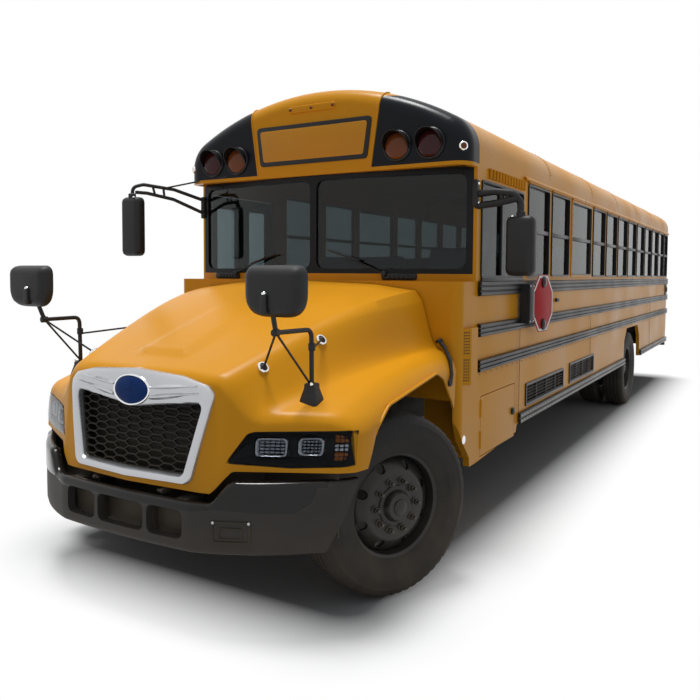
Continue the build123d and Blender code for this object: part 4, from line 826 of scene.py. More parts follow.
NOSE_COLUMNS = (12, 8, 12, 10, 10)
FRONT_STEPS = (0.0, 0.003, 0.008, 0.015, 0.024, 0.035, 0.05, 0.07, 0.095)
NOSE_ROWS, WALL_ROWS = 52, 12
NOSE_EDGE = ((0.0, 0.72), (0.545, 0.72), (0.645, 0.838), (1.3, 0.838))


def nose_columns():
    """Places between the section's key points, as (span, share)."""
    columns = []
    for span, count in enumerate(NOSE_COLUMNS):
        columns += [(span, k / count) for k in range(count)]
    return columns + [(len(NOSE_COLUMNS) - 1, 1.0)]


def column_x(column, station):
    """Distance off centre of a column at a station."""
    keys = nose_keys(station)
    span, share = column
    return keys[span][0] * (1 - share) + keys[span + 1][0] * share


def column_front(column):
    """Station where a column meets the nose's front."""
    low, high = -1.15, 0.2
    for _ in range(30):
        middle = (low + high) / 2
        x = column_x(column, middle)
        if middle - lean(nose_height(x, middle)) > plan_station(min(x, 1.2055)):
            high = middle
        else:
            low = middle
    return high


def hood_side(radius):
    """One half of the hood's top as rows from the rear forward, with its edge turned down."""
    grid = []
    for column in nose_columns():
        front = column_front(column)
        rest = HOOD_REAR - front - FRONT_STEPS[-1]
        steps = list(FRONT_STEPS) + [FRONT_STEPS[-1] + rest * (k + 1) / NOSE_ROWS for k in range(NOSE_ROWS)]
        line = []
        for step in reversed(steps):
            station = front + step
            x = column_x(column, station)
            z = nose_height(x, station)
            near = min(edge_distance(x, station - lean(z)), radius)
            line.append((x, station, z - radius + math.sqrt(radius ** 2 - (radius - near) ** 2)))
        grid.append(line)
    return grid


ARCH = ((-0.64, 0.6), (-0.545, 0.8), (-0.44, 1.02), (-0.3, 1.132), (0.33, 1.232), (0.43, 1.19),
        (0.545, 1.05), (0.615, 0.935), (0.66, 0.85), (0.7, 0.6))
LAMP_TOP = ((0.61, 0.88), (0.7, 1.026), (0.734, 1.038), (1.23, 1.052))
LAMP_BOTTOM = ((0.61, 0.876), (0.906, 0.858), (1.149, 0.868), (1.23, 0.884))
LAMP_OUTLINE = LAMP_BOTTOM[:1] + LAMP_TOP[1:] + LAMP_BOTTOM[:0:-1]
LAMP_BACK = -0.62
GRILLE_OUTER = ((0.0, 1.322), (0.33, 1.3), (0.5, 1.262), (0.538, 1.215), (0.436, 0.775), (0.405, 0.752),
                (0.0, 0.748))
GRILLE_INNER = ((0.0, 1.118), (0.3, 1.152), (0.458, 1.165), (0.47, 1.14), (0.382, 0.812), (0.36, 0.796),
                (0.0, 0.794))


def both_halves(points):
    """A closed outline from its half."""
    return list(points) + [(-x, z) for x, z in reversed(points) if x > 0]


def build_hood(sizes):
    """The tilting nose as one smooth shell with its arches, grille and lamps cut."""
    half = hood_side(sizes.hood_round)
    columns = [[(-x, s, z) for x, s, z in line] for line in reversed(half[1:])] + half
    shape = Shape()
    top = shape.skin([[at(*p) for p in line] for line in columns])
    rim = ([(v, columns[0][i]) for i, v in enumerate(top[0])]
           + [(line[-1], columns[i][-1]) for i, line in enumerate(top)][1:-1]
           + [(v, columns[-1][i]) for i, v in enumerate(top[-1])][::-1])
    rows = [[v for v, p in rim]]
    for k in range(1, WALL_ROWS + 1):
        row = []
        for v, (x, station, z) in rim:
            low = min(through(abs(x), NOSE_EDGE), z - 0.02)
            height = z + (low - z) * k / WALL_ROWS
            row.append(shape.bm.verts.new(at(x, station - lean(z) + lean(height), height)))
        rows.append(row)
    for first, second in zip(rows, rows[1:]):
        for i in range(len(first) - 1):
            shape.bm.faces.new((first[i], first[i + 1], second[i + 1], second[i]))
    obj = make("hood_shell", shape, ["school_yellow"], "hood", ["hood"], crease=HOOD_CREASE)
    thicken(obj, HOOD_SKIN, -1.0, HOOD_CREASE)
    cutters = []
    for side in SIDES:
        arch = Shape()
        arch.plate([at(0.62 * side, s, z) for s, z in rounded(ARCH, 0.1)], (0.8 * side, 0, 0))
        lamp = Shape()
        lamp.plate([at(x * side, LAMP_BACK, z) for x, z in rounded(LAMP_OUTLINE, 0.02)], (0, -0.7, 0))
        cutters += [arch, lamp]
    grille = Shape()
    outline = [(x * 0.985, z) for x, z in both_halves(GRILLE_OUTER)]
    grille.plate([at(x, -0.8, z) for x, z in rounded(outline, 0.03)], (0, -0.5, 0))
    cut(obj, cutters + [grille], HOOD_CREASE, "EXACT")


def resample(outline, count):
    """A closed outline at even steps along its length."""
    points = [Vector(p) for p in outline]
    points.append(points[0])
    lengths = [(b - a).length for a, b in zip(points, points[1:])]
    total = sum(lengths)
    out = []
    index, start = 0, 0.0
    for k in range(count):
        goal = total * k / count
        while index < len(lengths) - 1 and start + lengths[index] < goal:
            start += lengths[index]
            index += 1
        out.append(points[index].lerp(points[index + 1], (goal - start) / lengths[index]))
    return out


SURROUND_SECTION = ((0.0, -0.03), (0.0, 0.006), (0.05, 0.015), (0.14, 0.02), (0.55, 0.022), (0.82, 0.018),
                    (0.93, 0.01), (1.0, -0.004), (1.0, -0.032))
SURROUND_POINTS = 160
SPEAR_SECTION = ((-1, 0.014), (-0.15, 0.032), (0.15, 0.032), (1, 0.014), (0, 0.002))
# Blades on the surround as (inner end, outer end, half height).
SPEARS = (((0.138, 1.176), (0.455, 1.222), 0.021), ((0.138, 1.23), (0.44, 1.258), 0.018))
RADIATOR_STATIONS, RADIATOR_HEIGHTS, RADIATOR_FINS, FIN_MARGIN = (-0.88, -0.81), (0.76, 1.205), 22, 0.02
BADGE_Z, BADGE_HALF, BADGE_POINTS = 1.209, (0.138, 0.085), 64
BADGE_RIM = ((0.0, 0.0), (0.0, 0.02), (0.003, 0.026), (0.01, 0.027), (0.014, 0.022))
BADGE_FACE = ((0.012, 0.01), (0.012, 0.024), (0.02, 0.028), (0.05, 0.031), (0.079, 0.032))


def build_grille():
    """The silver surround with its raised spears, a plain oval and the radiator behind."""
    outer = resample(rounded(both_halves(GRILLE_OUTER), 0.05, 6), SURROUND_POINTS)
    inner_line = rounded(both_halves(GRILLE_INNER), 0.03, 6)
    middle = Vector((0.0, 1.0))
    shape = Shape()
    moulding(shape, outer, [nearest_on(inner_line, point, middle) for point in outer], SURROUND_SECTION,
             face_point)
    for side in SIDES:
        for start, end, width in SPEARS:
            spear(shape, [(start[0] * side, start[1]), (end[0] * side, end[1])], width)
    make("grille_surround_moulded", shape, ["grille_silver"], "hood", ["grille_surround"],
         crease=30)
    badge = Shape()
    for mat, rows in enumerate((BADGE_RIM, BADGE_FACE)):
        badge.tube_of([[face_point(x, BADGE_Z + z, proud) for x, z in oval(inset)] for inset, proud in rows],
                      mat)
    make("nose_oval", badge, ["chrome", "emblem_blue"], "hood")
    core = Shape()
    box_of(core, (-0.52, 0.52), RADIATOR_STATIONS, RADIATOR_HEIGHTS, 0.006)
    low, high = RADIATOR_HEIGHTS
    for k in range(RADIATOR_FINS):
        z = low + FIN_MARGIN + (high - low - 2 * FIN_MARGIN) * k / (RADIATOR_FINS - 1)
        core.rod([at(-0.46, RADIATOR_STATIONS[0], z), at(0.46, RADIATOR_STATIONS[0], z)], 0.004, 6)
    box_of(core, (-0.6, 0.6), (-0.97, -0.7), (0.596, 0.606), 0.002)
    make("radiator", core, ["chassis_black"], "bus")


def oval(inset):
    """The plain oval on the surround's top bar."""
    a, b = BADGE_HALF[0] - inset, BADGE_HALF[1] - inset
    angles = [math.tau * k / BADGE_POINTS for k in range(BADGE_POINTS)]
    return [(a * math.cos(angle), b * math.sin(angle)) for angle in angles]


def nearest_on(outline, point, middle):
    """Where the line from a point towards the middle meets an outline."""
    best, found = 9.0, point
    ahead = (middle - point).normalized()
    for a, b in zip(outline, outline[1:] + outline[:1]):
        for t in (0.0, 0.25, 0.5, 0.75):
            spot = a.lerp(b, t)
            offset = spot - point
            miss = abs(offset.cross(ahead)) * 2.5 + offset.length
            if miss < best:
                best, found = miss, spot
    return found


def spear(shape, ends, width):
    """A slim raised blade on the surround's top bar."""
    (x0, z0), (x1, z1) = ends
    rows = []
    for k in range(13):
        t = k / 12
        x, z = x0 + (x1 - x0) * t, z0 + (z1 - z0) * t
        swell = 0.35 + 0.65 * math.sin(math.pi * min(1.0, t * 1.15 + 0.12)) ** 0.7
        half = width * (swell if t < 1 else 0.15)
        rows.append([face_point(x, z + half * up, proud) for up, proud in SPEAR_SECTION])
    shape.tube_of(rows)


LAMP_INNER, LAMP_OUTER, LAMP_GAP = 0.616, 1.183, 0.003
# Lamp units behind the covers as lower and upper corners; the amber end as its inner and outer edge.
LAMP_UNITS = (((0.733, 0.91), (0.876, 1.003)), ((0.927, 0.919), (1.038, 1.008)))
LAMP_AMBER = (1.082, 1.168)
COVER_SKIN = 0.003
UNIT_RING = ((0.0, -0.06), (0.0, -0.02), (0.4, -0.016), (1.0, -0.024), (1.0, -0.06))
FACET_STEPS = ((0.0, -0.06), (0.0, -0.034), (0.003, -0.029), (0.007, -0.027))
FACET_GAP, FACET_RIM, FACET_ROWS, FACET_COLUMNS = 0.004, 0.012, 4, 5
MARKER_BANDS = ((0.893, 0.936, 0), (0.94, 0.98, 1), (0.984, 1.028, 0))


def facets(shape, low, high, rows, columns, place, mat):
    """Small cushions in rows that fill a lamp unit."""
    wide = (high[0] - low[0]) / columns
    tall = (high[1] - low[1]) / rows
    for i in range(rows):
        for k in range(columns):
            start = (low[0] + wide * k + FACET_GAP / 2, low[1] + tall * i + FACET_GAP / 2)
            end = (start[0] + wide - FACET_GAP, start[1] + tall - FACET_GAP)
            cushion_plate(shape, start, end, 0.005, FACET_STEPS, place, mat)


def lamp_patch(side, push, across=26, up=10):
    """Rows over a headlight's opening; push(u, v) sets the surface back."""
    rows = []
    for i in range(across + 1):
        u = i / across
        x = LAMP_INNER + (LAMP_OUTER - LAMP_INNER) * u
        low, high = through(x, LAMP_BOTTOM) + LAMP_GAP, through(x, LAMP_TOP) - LAMP_GAP
        rows.append([face_point(x * side, low + (high - low) * j / up, -push(u, j / up))
                     for j in range(up + 1)])
    return rows


def edge_share(u, v):
    """0 at a patch's rim, 1 in its middle."""
    return min(1.0, 5.0 * min(u, 1 - u)) * min(1.0, 4.0 * min(v, 1 - v))


def build_headlights():
    """Smoked covers over dark housings, each with two ringed units and an amber end."""
    for side, label in SIDE_NAMES:
        def place(x, z, proud, side=side):
            return face_point(x * side, z, proud)

        housing = Shape()
        housing.skin(lamp_patch(side, lambda u, v: 0.01 + 0.055 * edge_share(u, v)))
        for low, high in LAMP_UNITS:
            ring = rounded_box(*low, *high, 0.022)
            moulding(housing, ring, inset_box(low, high, 0.01, 0.014), UNIT_RING, place, 1)
            facets(housing, [v + FACET_RIM for v in low], [v - FACET_RIM for v in high], FACET_ROWS,
                   FACET_COLUMNS, place, 2)
        make("headlight_housing_" + label, housing, ["moulded_black", "lamp_bowl", "lamp_facet"], "hood",
             ["headlights"] if side > 0 else ())
        marker = Shape()
        for low, high, mat in MARKER_BANDS:
            facets(marker, (LAMP_AMBER[0], low), (LAMP_AMBER[1], high), 2, 4, place, mat)
        make("headlight_marker_" + label, marker, ["marker_amber", "lamp_bowl"], "hood")
        cover = Shape()
        cover.skin(lamp_patch(side, lambda u, v: 0.004 - 0.008 * edge_share(u, v)))
        obj = make("headlight_cover_" + label, cover, ["cover_glass"], "hood",
                   turn_out=False)
        thicken(obj, COVER_SKIN, 0.0)


# Body sizes that the frame's boxes don't give, as stations and heights.

WALL_FRONT, WALL_REAR, BODY_REAR, CAP_FRONT = 0.95, 10.6, 10.703, 0.738
SILL, HEAD = 1.827, 2.574
FIRST_WINDOW, WINDOW_COUNT, EXIT_INDEX = 2.056, 12, 2
WINDOW_WIDTH, EXIT_WIDTH, LAST_WIDTH, WINDOW_POST = 0.627, 0.87585, 0.43215, 0.084
DRIVER_WINDOW = ((0.995, 1.812), (1.93, 2.485))
DRIVER_BAR = 1.43
REAR_ARCH = (6.467, 7.757)


def wall_place(side):
    """Places (station, height, proud) on a side wall."""
    return lambda station, z, proud: at(side * (SIDE + proud), station, z)


def back_place(x, z, proud):
    """A point on the rear wall."""
    return at(x, BODY_REAR + proud, z)


def cap_place(x, z, proud):
    """A point on the front of the roof cap."""
    return at(x, CAP_FRONT - proud, z)


def moulding(shape, outer, inner, section, place, mat=0):
    """A closed ring between two outlines, raised by its section of (share, proud)."""
    rows = []
    for share, proud in section:
        rows.append([place(a[0] * (1 - share) + b[0] * share, a[1] * (1 - share) + b[1] * share, proud)
                     for a, b in zip(outer, inner)])
    shape.skin(rows, wrap=True, loop=True, mat=mat)


def cushion_plate(shape, low, high, radius, steps, place, mat=0):
    """A rounded plate whose edge steps in by (inset, proud)."""
    rows = []
    for inset, proud in steps:
        outline = inset_box(low, high, inset, max(radius - inset, 0.002))
        rows.append([place(u, v, proud) for u, v in outline])
    shape.tube_of(rows, mat)


FRAME_LAP = 0.001
FRAME_SECTION = ((0.0, -0.028), (0.0, 0.0005), (0.2, 0.0015), (0.85, 0.001), (1.0, -0.002), (1.0, -0.028))


def pane_frame(shape, place, low, high, width, radius=0.035, mat=0):
    """A window frame round an opening."""
    outer = inset_box(low, high, -FRAME_LAP, radius)
    moulding(shape, outer, inset_box(low, high, width, radius * 0.6), FRAME_SECTION, place, mat)


def drawn(shape, section, start, end, place, mat=0):
    """A straight bar along the bus from its section of (height, proud)."""
    shape.tube_of([[place(s, z, proud) for z, proud in section] for s in (start, end)], mat)


def box_of(shape, x, s, z, bevel=0.003, mat=0):
    """A block between two distances off centre, two stations and two heights."""
    shape.block(at(min(x), min(s), min(z)), at(max(x), max(s), max(z)), bevel, mat)


def on_wall(shape, side, s, z, proud, bevel=0.003, mat=0):
    """A block on a side wall."""
    box_of(shape, [side * (SIDE + p) for p in proud], s, z, bevel, mat)


def window_spans():
    """Start and end of each passenger window."""
    spans = []
    start = FIRST_WINDOW
    for i in range(WINDOW_COUNT):
        width = EXIT_WIDTH if i == EXIT_INDEX else LAST_WIDTH if i == WINDOW_COUNT - 1 else WINDOW_WIDTH
        spans.append((start, start + width))
        start += width + WINDOW_POST
    return spans


DRIP_SECTION = ((2.59, -0.002), (2.592, 0.012), (2.598, 0.016), (2.606, 0.015), (2.622, -0.002))
BROW_SECTION = ((0.0, -0.002), (0.003, 0.01), (0.01, 0.013), (0.02, -0.002))
BROW_OVER, SASH_HALF = 0.01, 0.017
# Width and corner radius of the painted frame inside the exit pane.
EXIT_FRAME = (0.012, 0.02)
LOUVRES, LOUVRE_SPAN, LOUVRE_HEIGHTS = 13, (1.15, 1.93), (2.506, 2.578)


def build_windows(sizes):
    """Black frames and sash bars, the exit pane's painted frame, drip edges and the louvred panel."""
    width = sizes.frame_width
    middle = (SILL + HEAD) / 2
    brow = [(HEAD + 0.003 + z, proud) for z, proud in BROW_SECTION]
    for side, label in SIDE_NAMES:
        place = wall_place(side)
        shape = Shape()
        for i, (start, end) in enumerate(window_spans()):
            way_out = i == EXIT_INDEX
            pane_frame(shape, place, (start, SILL), (end, HEAD), width, mat=1 if way_out else 0)
            if way_out:
                pane_frame(shape, place, (start + width, SILL + width), (end - width, HEAD - width),
                           *EXIT_FRAME)
            on_wall(shape, side, (start + width * 0.8, end - width * 0.8),
                    (middle - SASH_HALF, middle + SASH_HALF), (-0.026, -0.003), 0.004)
            drawn(shape, brow, start - BROW_OVER, end + BROW_OVER, place, 1)
        if side > 0:
            low, high = DRIVER_WINDOW
            pane_frame(shape, place, low, high, width)
            on_wall(shape, side, (DRIVER_BAR - 0.02, DRIVER_BAR + 0.02), (low[1] + 0.02, high[1] - 0.02),
                    (-0.026, -0.002), 0.004)
            on_wall(shape, side, (low[0], high[0]), (1.79, 1.814), (-0.002, 0.006), 0.003)
            for k in range(LOUVRES):
                s = LOUVRE_SPAN[0] + (LOUVRE_SPAN[1] - LOUVRE_SPAN[0]) * k / (LOUVRES - 1)
                shape.rod([place(s, z, 0.0) for z in LOUVRE_HEIGHTS], 0.011, 10, mat=1)
        drawn(shape, DRIP_SECTION, 1.95, WALL_REAR, place, 1)
        make("window_frames_" + label, shape, ["rail_black", "school_yellow"], "bus")


# Bands along the sides as (low, high, ribs); the skirt's band stops at the rear arch.
RAILS = ((1.689, 1.793, 3), (1.409, 1.5, 3), (1.166, 1.251, 3))
SKIRT_RAIL = (0.645, 0.733, 2)
RAIL_STARTS = {1: WALL_FRONT, -1: 1.9}
SKIRT_STARTS = {1: 1.882, -1: 1.9}
RAIL_PROUD = 0.0195
# Rivet rows under the lowest band and along the sill as height and starts by side.
RIVET_ROWS = ((1.15, RAIL_STARTS), (1.812, {1: 2.05, -1: 1.95}))
CLOSE_PITCH, ABOVE_ARCH = 0.075, 1.5
# Panel seams as stations, half width and height spans, drawn as thin strips of painted shade for their
# grooves.
SEAMS, SEAM_EDGE, SEAM_HEIGHTS = (1.882, 4.396, 8.662), 0.0016, ((0.74, 1.164), (1.253, 1.407))


def ribbed(low, high, proud, ribs):
    """Section of a rail with flat ribs along it."""
    pitch = (high - low) / ribs
    points = [(low, -0.002)]
    for k in range(ribs):
        points += [(low + pitch * (k + share), proud * height)
                   for share, height in ((0.06, 0.5), (0.2, 1.0), (0.8, 1.0), (0.94, 0.5))]
    return points + [(high, -0.002)]


def rivet_row(shape, places, axis, radius, mat=0):
    """Domed rivets at places."""
    for place in places:
        shape.dome(place, axis, radius, radius * 0.55, 7, mat)


def steps_between(start, end, pitch):
    """Even places along a stretch."""
    count = max(1, round((end - start) / pitch))
    return [start + (end - start) * k / count for k in range(count + 1)]


def build_rails(sizes):
    """Ribbed bands, the dotted skirt band, panel seams and rivets; the seams and the rivets under the lowest
    band are drawn in a darker yellow as painted shade.
    """
    for side, label in SIDE_NAMES:
        place = wall_place(side)
        out = (side, 0, 0)
        shape = Shape()
        for low, high, ribs in RAILS:
            drawn(shape, ribbed(low, high, RAIL_PROUD, ribs), RAIL_STARTS[side], WALL_REAR, place)
        low, high, ribs = SKIRT_RAIL
        for start, end in ((SKIRT_STARTS[side], REAR_ARCH[0]), (REAR_ARCH[1], WALL_REAR)):
            drawn(shape, ribbed(low, high, RAIL_PROUD, ribs), start, end, place)
            spots = steps_between(start + 0.03, end - 0.03, CLOSE_PITCH)
            for z in (low + 0.022, high - 0.022):
                rivet_row(shape, [place(s, z, RAIL_PROUD) for s in spots], out, sizes.rivet, 1)
        make("side_bands_" + label, shape, ["rail_black", "bare_steel"], "bus",
             ["rub_rails"] if side > 0 else ())
        trim = Shape()
        for z, starts in RIVET_ROWS:
            spots = [s for s in steps_between(starts[side] + 0.04, WALL_REAR - 0.04, sizes.rivet_pitch)
                     if z > ABOVE_ARCH or not REAR_ARCH[0] < s < REAR_ARCH[1]]
            # Rivets in the row under the lowest band take the darker yellow, painted shade under the band's
            # overhang.
            rivet_row(trim, [place(s, z, 0.0) for s in spots], out, sizes.rivet, 1 if z < ABOVE_ARCH else 0)
        for seam in SEAMS:
            for heights in SEAM_HEIGHTS:
                on_wall(trim, side, (seam - SEAM_EDGE, seam + SEAM_EDGE), heights, (-0.002, 0.001), 0.0, 1)
            for s in (seam - 0.02, seam + 0.02):
                spots = [place(s, z, 0.0) for z in steps_between(0.8, 1.1, CLOSE_PITCH)]
                rivet_row(trim, spots, out, sizes.rivet * 0.8)
        make("side_rivets_" + label, trim, ["school_yellow", "seam_painted_shade"], "bus")


# The roof's section: a corner arc each side of one wide arc.
CORNER_X, CORNER_Z, CORNER_RADIUS, ROOF_RADIUS, ROOF_CENTRE = 0.969, 2.6817, 0.25, 2.23, 0.955
LAP_HALF, LAP_PROUD, LAP_BARE = 0.03, 0.0022, 0.22


def roof_line(proud, corner_steps=6, top_steps=24):
    """Points over the roof from the left eave to the right, flush at the crown."""
    turn = math.atan2(CORNER_Z - ROOF_CENTRE, CORNER_X)
    half = []
    for k in range(corner_steps + 1):
        a = turn * k / corner_steps
        half.append((CORNER_X + (CORNER_RADIUS + proud) * math.cos(a),
                     CORNER_Z + (CORNER_RADIUS + proud) * math.sin(a)))
    for k in range(1, top_steps // 2 + 1):
        a = turn + (math.pi / 2 - turn) * k / (top_steps // 2)
        lift = proud * min(1.0, math.cos(a) * 8) - 0.0004
        half.append(((ROOF_RADIUS + lift) * math.cos(a), ROOF_CENTRE + (ROOF_RADIUS + lift) * math.sin(a)))
    return half + [(-x, z) for x, z in reversed(half[:-1])]


def build_roof_trim(sizes):
    """Lapped roof sheets with rivets along each lap."""
    shape = Shape()
    laps = [span[0] - WINDOW_POST / 2 for span in window_spans()[1::2]]
    for lap in laps:
        rows = [[at(x, lap + offset, z) for x, z in roof_line(proud)]
                for offset, proud in ((-LAP_HALF, -0.001), (-LAP_HALF + 0.002, LAP_PROUD),
                                      (LAP_HALF - 0.002, LAP_PROUD), (LAP_HALF, -0.001))]
        shape.skin(rows, loop=True)
        line = roof_line(LAP_PROUD, 10, 56)
        for a, b in zip(line[1:], line[2:]):
            if abs(a[0]) > LAP_BARE and abs(b[0]) > LAP_BARE:
                for offset in (-0.015, 0.015):
                    middle = at((a[0] + b[0]) / 2, lap + offset, (a[1] + b[1]) / 2)
                    shape.dome(middle, (b[1] - a[1], 0, a[0] - b[0]), sizes.rivet * 0.8, 0.003, 6)
    make("roof_laps", shape, ["school_yellow"], "bus")


# Roof cap

SIGN_BORDER = ((-0.506, 2.943), (0.506, 2.943), (0.468, 2.648), (-0.468, 2.648))
SIGN_FACE = ((-0.47, 2.912), (0.47, 2.912), (0.437, 2.68), (-0.437, 2.68))
POD_HALF, POD_HEIGHTS, POD_LAMPS = 0.205, (3.022, 3.074), (-0.185, 0.0, 0.185)
CAP_ROUND = 0.118
POD_STEPS = ((0.0, -0.004), (0.0, 0.006), (0.003, 0.011), (0.01, 0.013))
CORNER_LAMP = (1.175, 0.765, 2.68)
CORNER_RING = ((-0.004, 0.03), (0.008, 0.03), (0.012, 0.026), (0.012, 0.021), (0.004, 0.02))
CORNER_LENS = ((-0.002, 0.021), (0.006, 0.02), (0.011, 0.012), (0.0125, 0.003))
# Warning and tail lamps as (distance off centre, height, at the rear, with a visor, tint).
LAMPS = ((0.702, 2.713, False, True, "amber"), (0.949, 2.711, False, True, "red"),
         (0.62, 2.74, True, True, "amber"), (0.86, 2.72, True, True, "red"), (1.01, 1.56, True, False, "red"),
         (1.01, 1.34, True, False, "amber"))
LAMP_RIM = ((-0.002, 0.108), (0.008, 0.108), (0.013, 0.103), (0.013, 0.094), (-0.002, 0.093))
LENS_DEPTH = 0.026
LENS_PROFILE = [(LENS_DEPTH * share, radius) for share, radius in (
    (0.0, 0.09), (0.35, 0.09), (0.55, 0.086), (0.8, 0.066), (0.95, 0.034), (1.0, 0.004))]


def visor(shape, x, station, z, way):
    """A hood over the top of a lamp, longest above it."""
    rows = []
    for k in range(25):
        a = math.radians(-14 + 208 * k / 24)
        reach = 0.026 + 0.062 * max(0.0, math.sin(a)) ** 0.6
        rows.append([at(x + radius * math.cos(a), station + way * along, z + radius * math.sin(a))
                     for radius, along in ((0.0975, 0.0), (0.0975, reach), (0.0925, reach), (0.0925, 0.0))])
    shape.tube_of(rows)


def roof_height(x):
    """Height of the roof at a distance off centre, inside its corners."""
    return ROOF_CENTRE + math.sqrt(ROOF_RADIUS ** 2 - x ** 2)


def seam_bead(side):
    """The line up the cap where its dark corner starts, over the rounded crown."""
    points = []
    for k in range(14):
        z = CAP_LIP_Z + (2.985 - CAP_LIP_Z) * k / 13
        points.append((CAP_SEAM_X + CAP_SEAM_LEAN * (z - CAP_SEAM_Z), CAP_FRONT, z))
    x = points[-1][0]
    base = roof_height(x) - CAP_ROUND
    for k in range(9):
        a = math.radians(90 * k / 8)
        station = CAP_FRONT + CAP_ROUND * (1 - math.cos(a))
        points.append((x + 0.003 * k, station, base + CAP_ROUND * math.sin(a) - 0.003))
    return [at(side * p[0], p[1], p[2]) for p in points]


def build_cap():
    """The blank sign, the lamps with their hoods, the clearance pod and the beads of the dark corners."""
    sign = Shape()
    sign.plate([at(x, CAP_FRONT + 0.002, z) for x, z in rounded(SIGN_BORDER, 0.035)], (0, -0.01, 0), 0.003)
    sign.plate([at(x, CAP_FRONT, z) for x, z in rounded(SIGN_FACE, 0.022)], (0, -0.0105, 0), 0.002, mat=1)
    make("roof_sign", sign, ["rail_black", "sign_yellow"], "bus")
    hoods, lenses = Shape(), {"amber": Shape(), "red": Shape()}
    for x, z, rear, hooded, tint in LAMPS:
        way, face = (1, BODY_REAR) if rear else (-1, CAP_FRONT)
        for side in SIDES:
            spot = at(side * x, face, z)
            if hooded:
                visor(hoods, side * x, face, z, way)
            hoods.lathe(LAMP_RIM, spot, (0, way, 0), 48, loop=True)
            lenses[tint].lathe(LENS_PROFILE, spot, (0, way, 0), 48)
    make("lamp_hoods", hoods, ["rail_black"], "bus", ["lamp_visors"])
    trim = Shape()
    low, high = POD_HEIGHTS
    cushion_plate(trim, (-POD_HALF, low), (POD_HALF, high), 0.026, POD_STEPS, cap_place)
    for x in POD_LAMPS:
        trim.dome(cap_place(x, (low + high) / 2, 0.012), (0, -1, 0), 0.013, 0.01, 16, 1)
    for side in SIDES:
        trim.rod(seam_bead(side), 0.007, 8)
        out = Vector((0.63 * side, -0.77, 0))
        spot = at(side * CORNER_LAMP[0], CORNER_LAMP[1], CORNER_LAMP[2])
        trim.lathe(CORNER_RING, spot, out, 24, loop=True, mat=2)
        trim.lathe(CORNER_LENS, spot, out, 20, mat=1)
    make("cap_trim", trim, ["school_yellow", "amber_lens", "chrome"], "bus")
    for tint, shape in lenses.items():
        make("domed_lenses_" + tint, shape, [tint + "_lens"], "bus", ["lenses_" + tint])


# Windshield wipers

SCREEN_BOW = 4.639
SCREEN_FRONT = 0.757
# Wipers as (cover's inner end, its outer end, arm's foot, arm's tip) by distance off centre and height.
WIPERS = (((0.565, 1.822), (0.82, 1.825), (0.59, 1.838), (0.3, 1.962)),
          ((-1.032, 1.821), (-0.741, 1.822), (-0.765, 1.838), (-0.44, 1.958)))
WIPER_COVER = ((0.0, -0.006), (0.0, 0.01), (0.006, 0.018), (0.014, 0.02))
WIPER_RIB, RIB_HEIGHTS, RIB_HALF = ((0.0, 0.018), (0.002, 0.024)), (1.806, 1.832), 0.012
WIPER_PIVOT, BLADE_REACH = ((0.0, 0.02), (0.034, 0.02), (0.04, 0.014)), 0.26


def screen_place(x, z, proud):
    """A point on the windshield's curve."""
    return at(x, SCREEN_FRONT + SCREEN_BOW - math.sqrt(SCREEN_BOW ** 2 - x ** 2) - proud, z)


def build_wipers():
    """Arms and blades on their pivot covers under the windshield."""
    shape = Shape()
    for inner, outer, foot, tip in WIPERS:
        cushion_plate(shape, (inner[0], inner[1] - 0.026), (outer[0], outer[1] + 0.018), 0.016, WIPER_COVER,
                      screen_place)
        for k in range(6):
            x = inner[0] + (outer[0] - inner[0]) * (0.22 + 0.13 * k)
            low, high = [(x + edge, z) for edge, z in zip((-RIB_HALF, RIB_HALF), RIB_HEIGHTS)]
            cushion_plate(shape, low, high, 0.006, WIPER_RIB, screen_place)
        shape.lathe(WIPER_PIVOT, screen_place(*foot, 0.0), (0, -1, 0), 20)
        arm = [[a + (b - a) * k / 8 for a, b in zip(foot, tip)] for k in range(9)]
        shape.rod([screen_place(x, z, 0.03) for x, z in arm], 0.006, 8, mat=1)
        slope = (tip[1] - foot[1]) / (tip[0] - foot[0])
        blade = [tip[0] + BLADE_REACH * (k / 10 - 0.62) for k in range(11)]
        points = [(x, tip[1] + slope * (x - tip[0]) * 0.75) for x in blade]
        shape.rod([screen_place(x, z, 0.018) for x, z in points], 0.006, 6)
        shape.rod([screen_place(x, z - 0.006, 0.01) for x, z in points], 0.005, 6)
    make("wipers", shape, ["moulded_black", "rail_black"], "bus")


# Mirrors

# Outside mirrors as (head centre, head height, two arm paths, arm radius); each point of a path is
# (distance off centre, station, height).
OUTSIDE_MIRRORS = (
    ((1.5, 0.99, 2.03), 0.4,
     (((1.2, 0.93, 2.38), (1.33, 0.94, 2.392), (1.455, 0.965, 2.376), (1.496, 0.988, 2.32),
       (1.5, 0.99, 2.215)),
      ((1.2, 0.93, 2.3), (1.35, 0.948, 2.316), (1.44, 0.962, 2.335), (1.478, 0.975, 2.345))), 0.024),
    ((-1.5, 0.399, 2.205), 0.47,
     (((-1.195, 0.925, 2.44), (-1.33, 0.69, 2.52), (-1.455, 0.475, 2.545), (-1.497, 0.402, 2.52),
       (-1.5, 0.399, 2.43)),
      ((-1.195, 0.925, 2.33), (-1.335, 0.69, 2.44), (-1.44, 0.5, 2.478), (-1.486, 0.42, 2.48))), 0.014),
)
HEAD_WIDTH, PANE_RIM = 0.195, 0.014
PANE_STEPS = ((0.0, 0.036), (0.0, 0.044), (0.001, 0.0446))
HEAD_STEPS = ((0.04, -0.0425), (0.022, -0.038), (0.008, -0.026), (0.0, -0.008), (0.0, 0.034), (0.004, 0.0425))


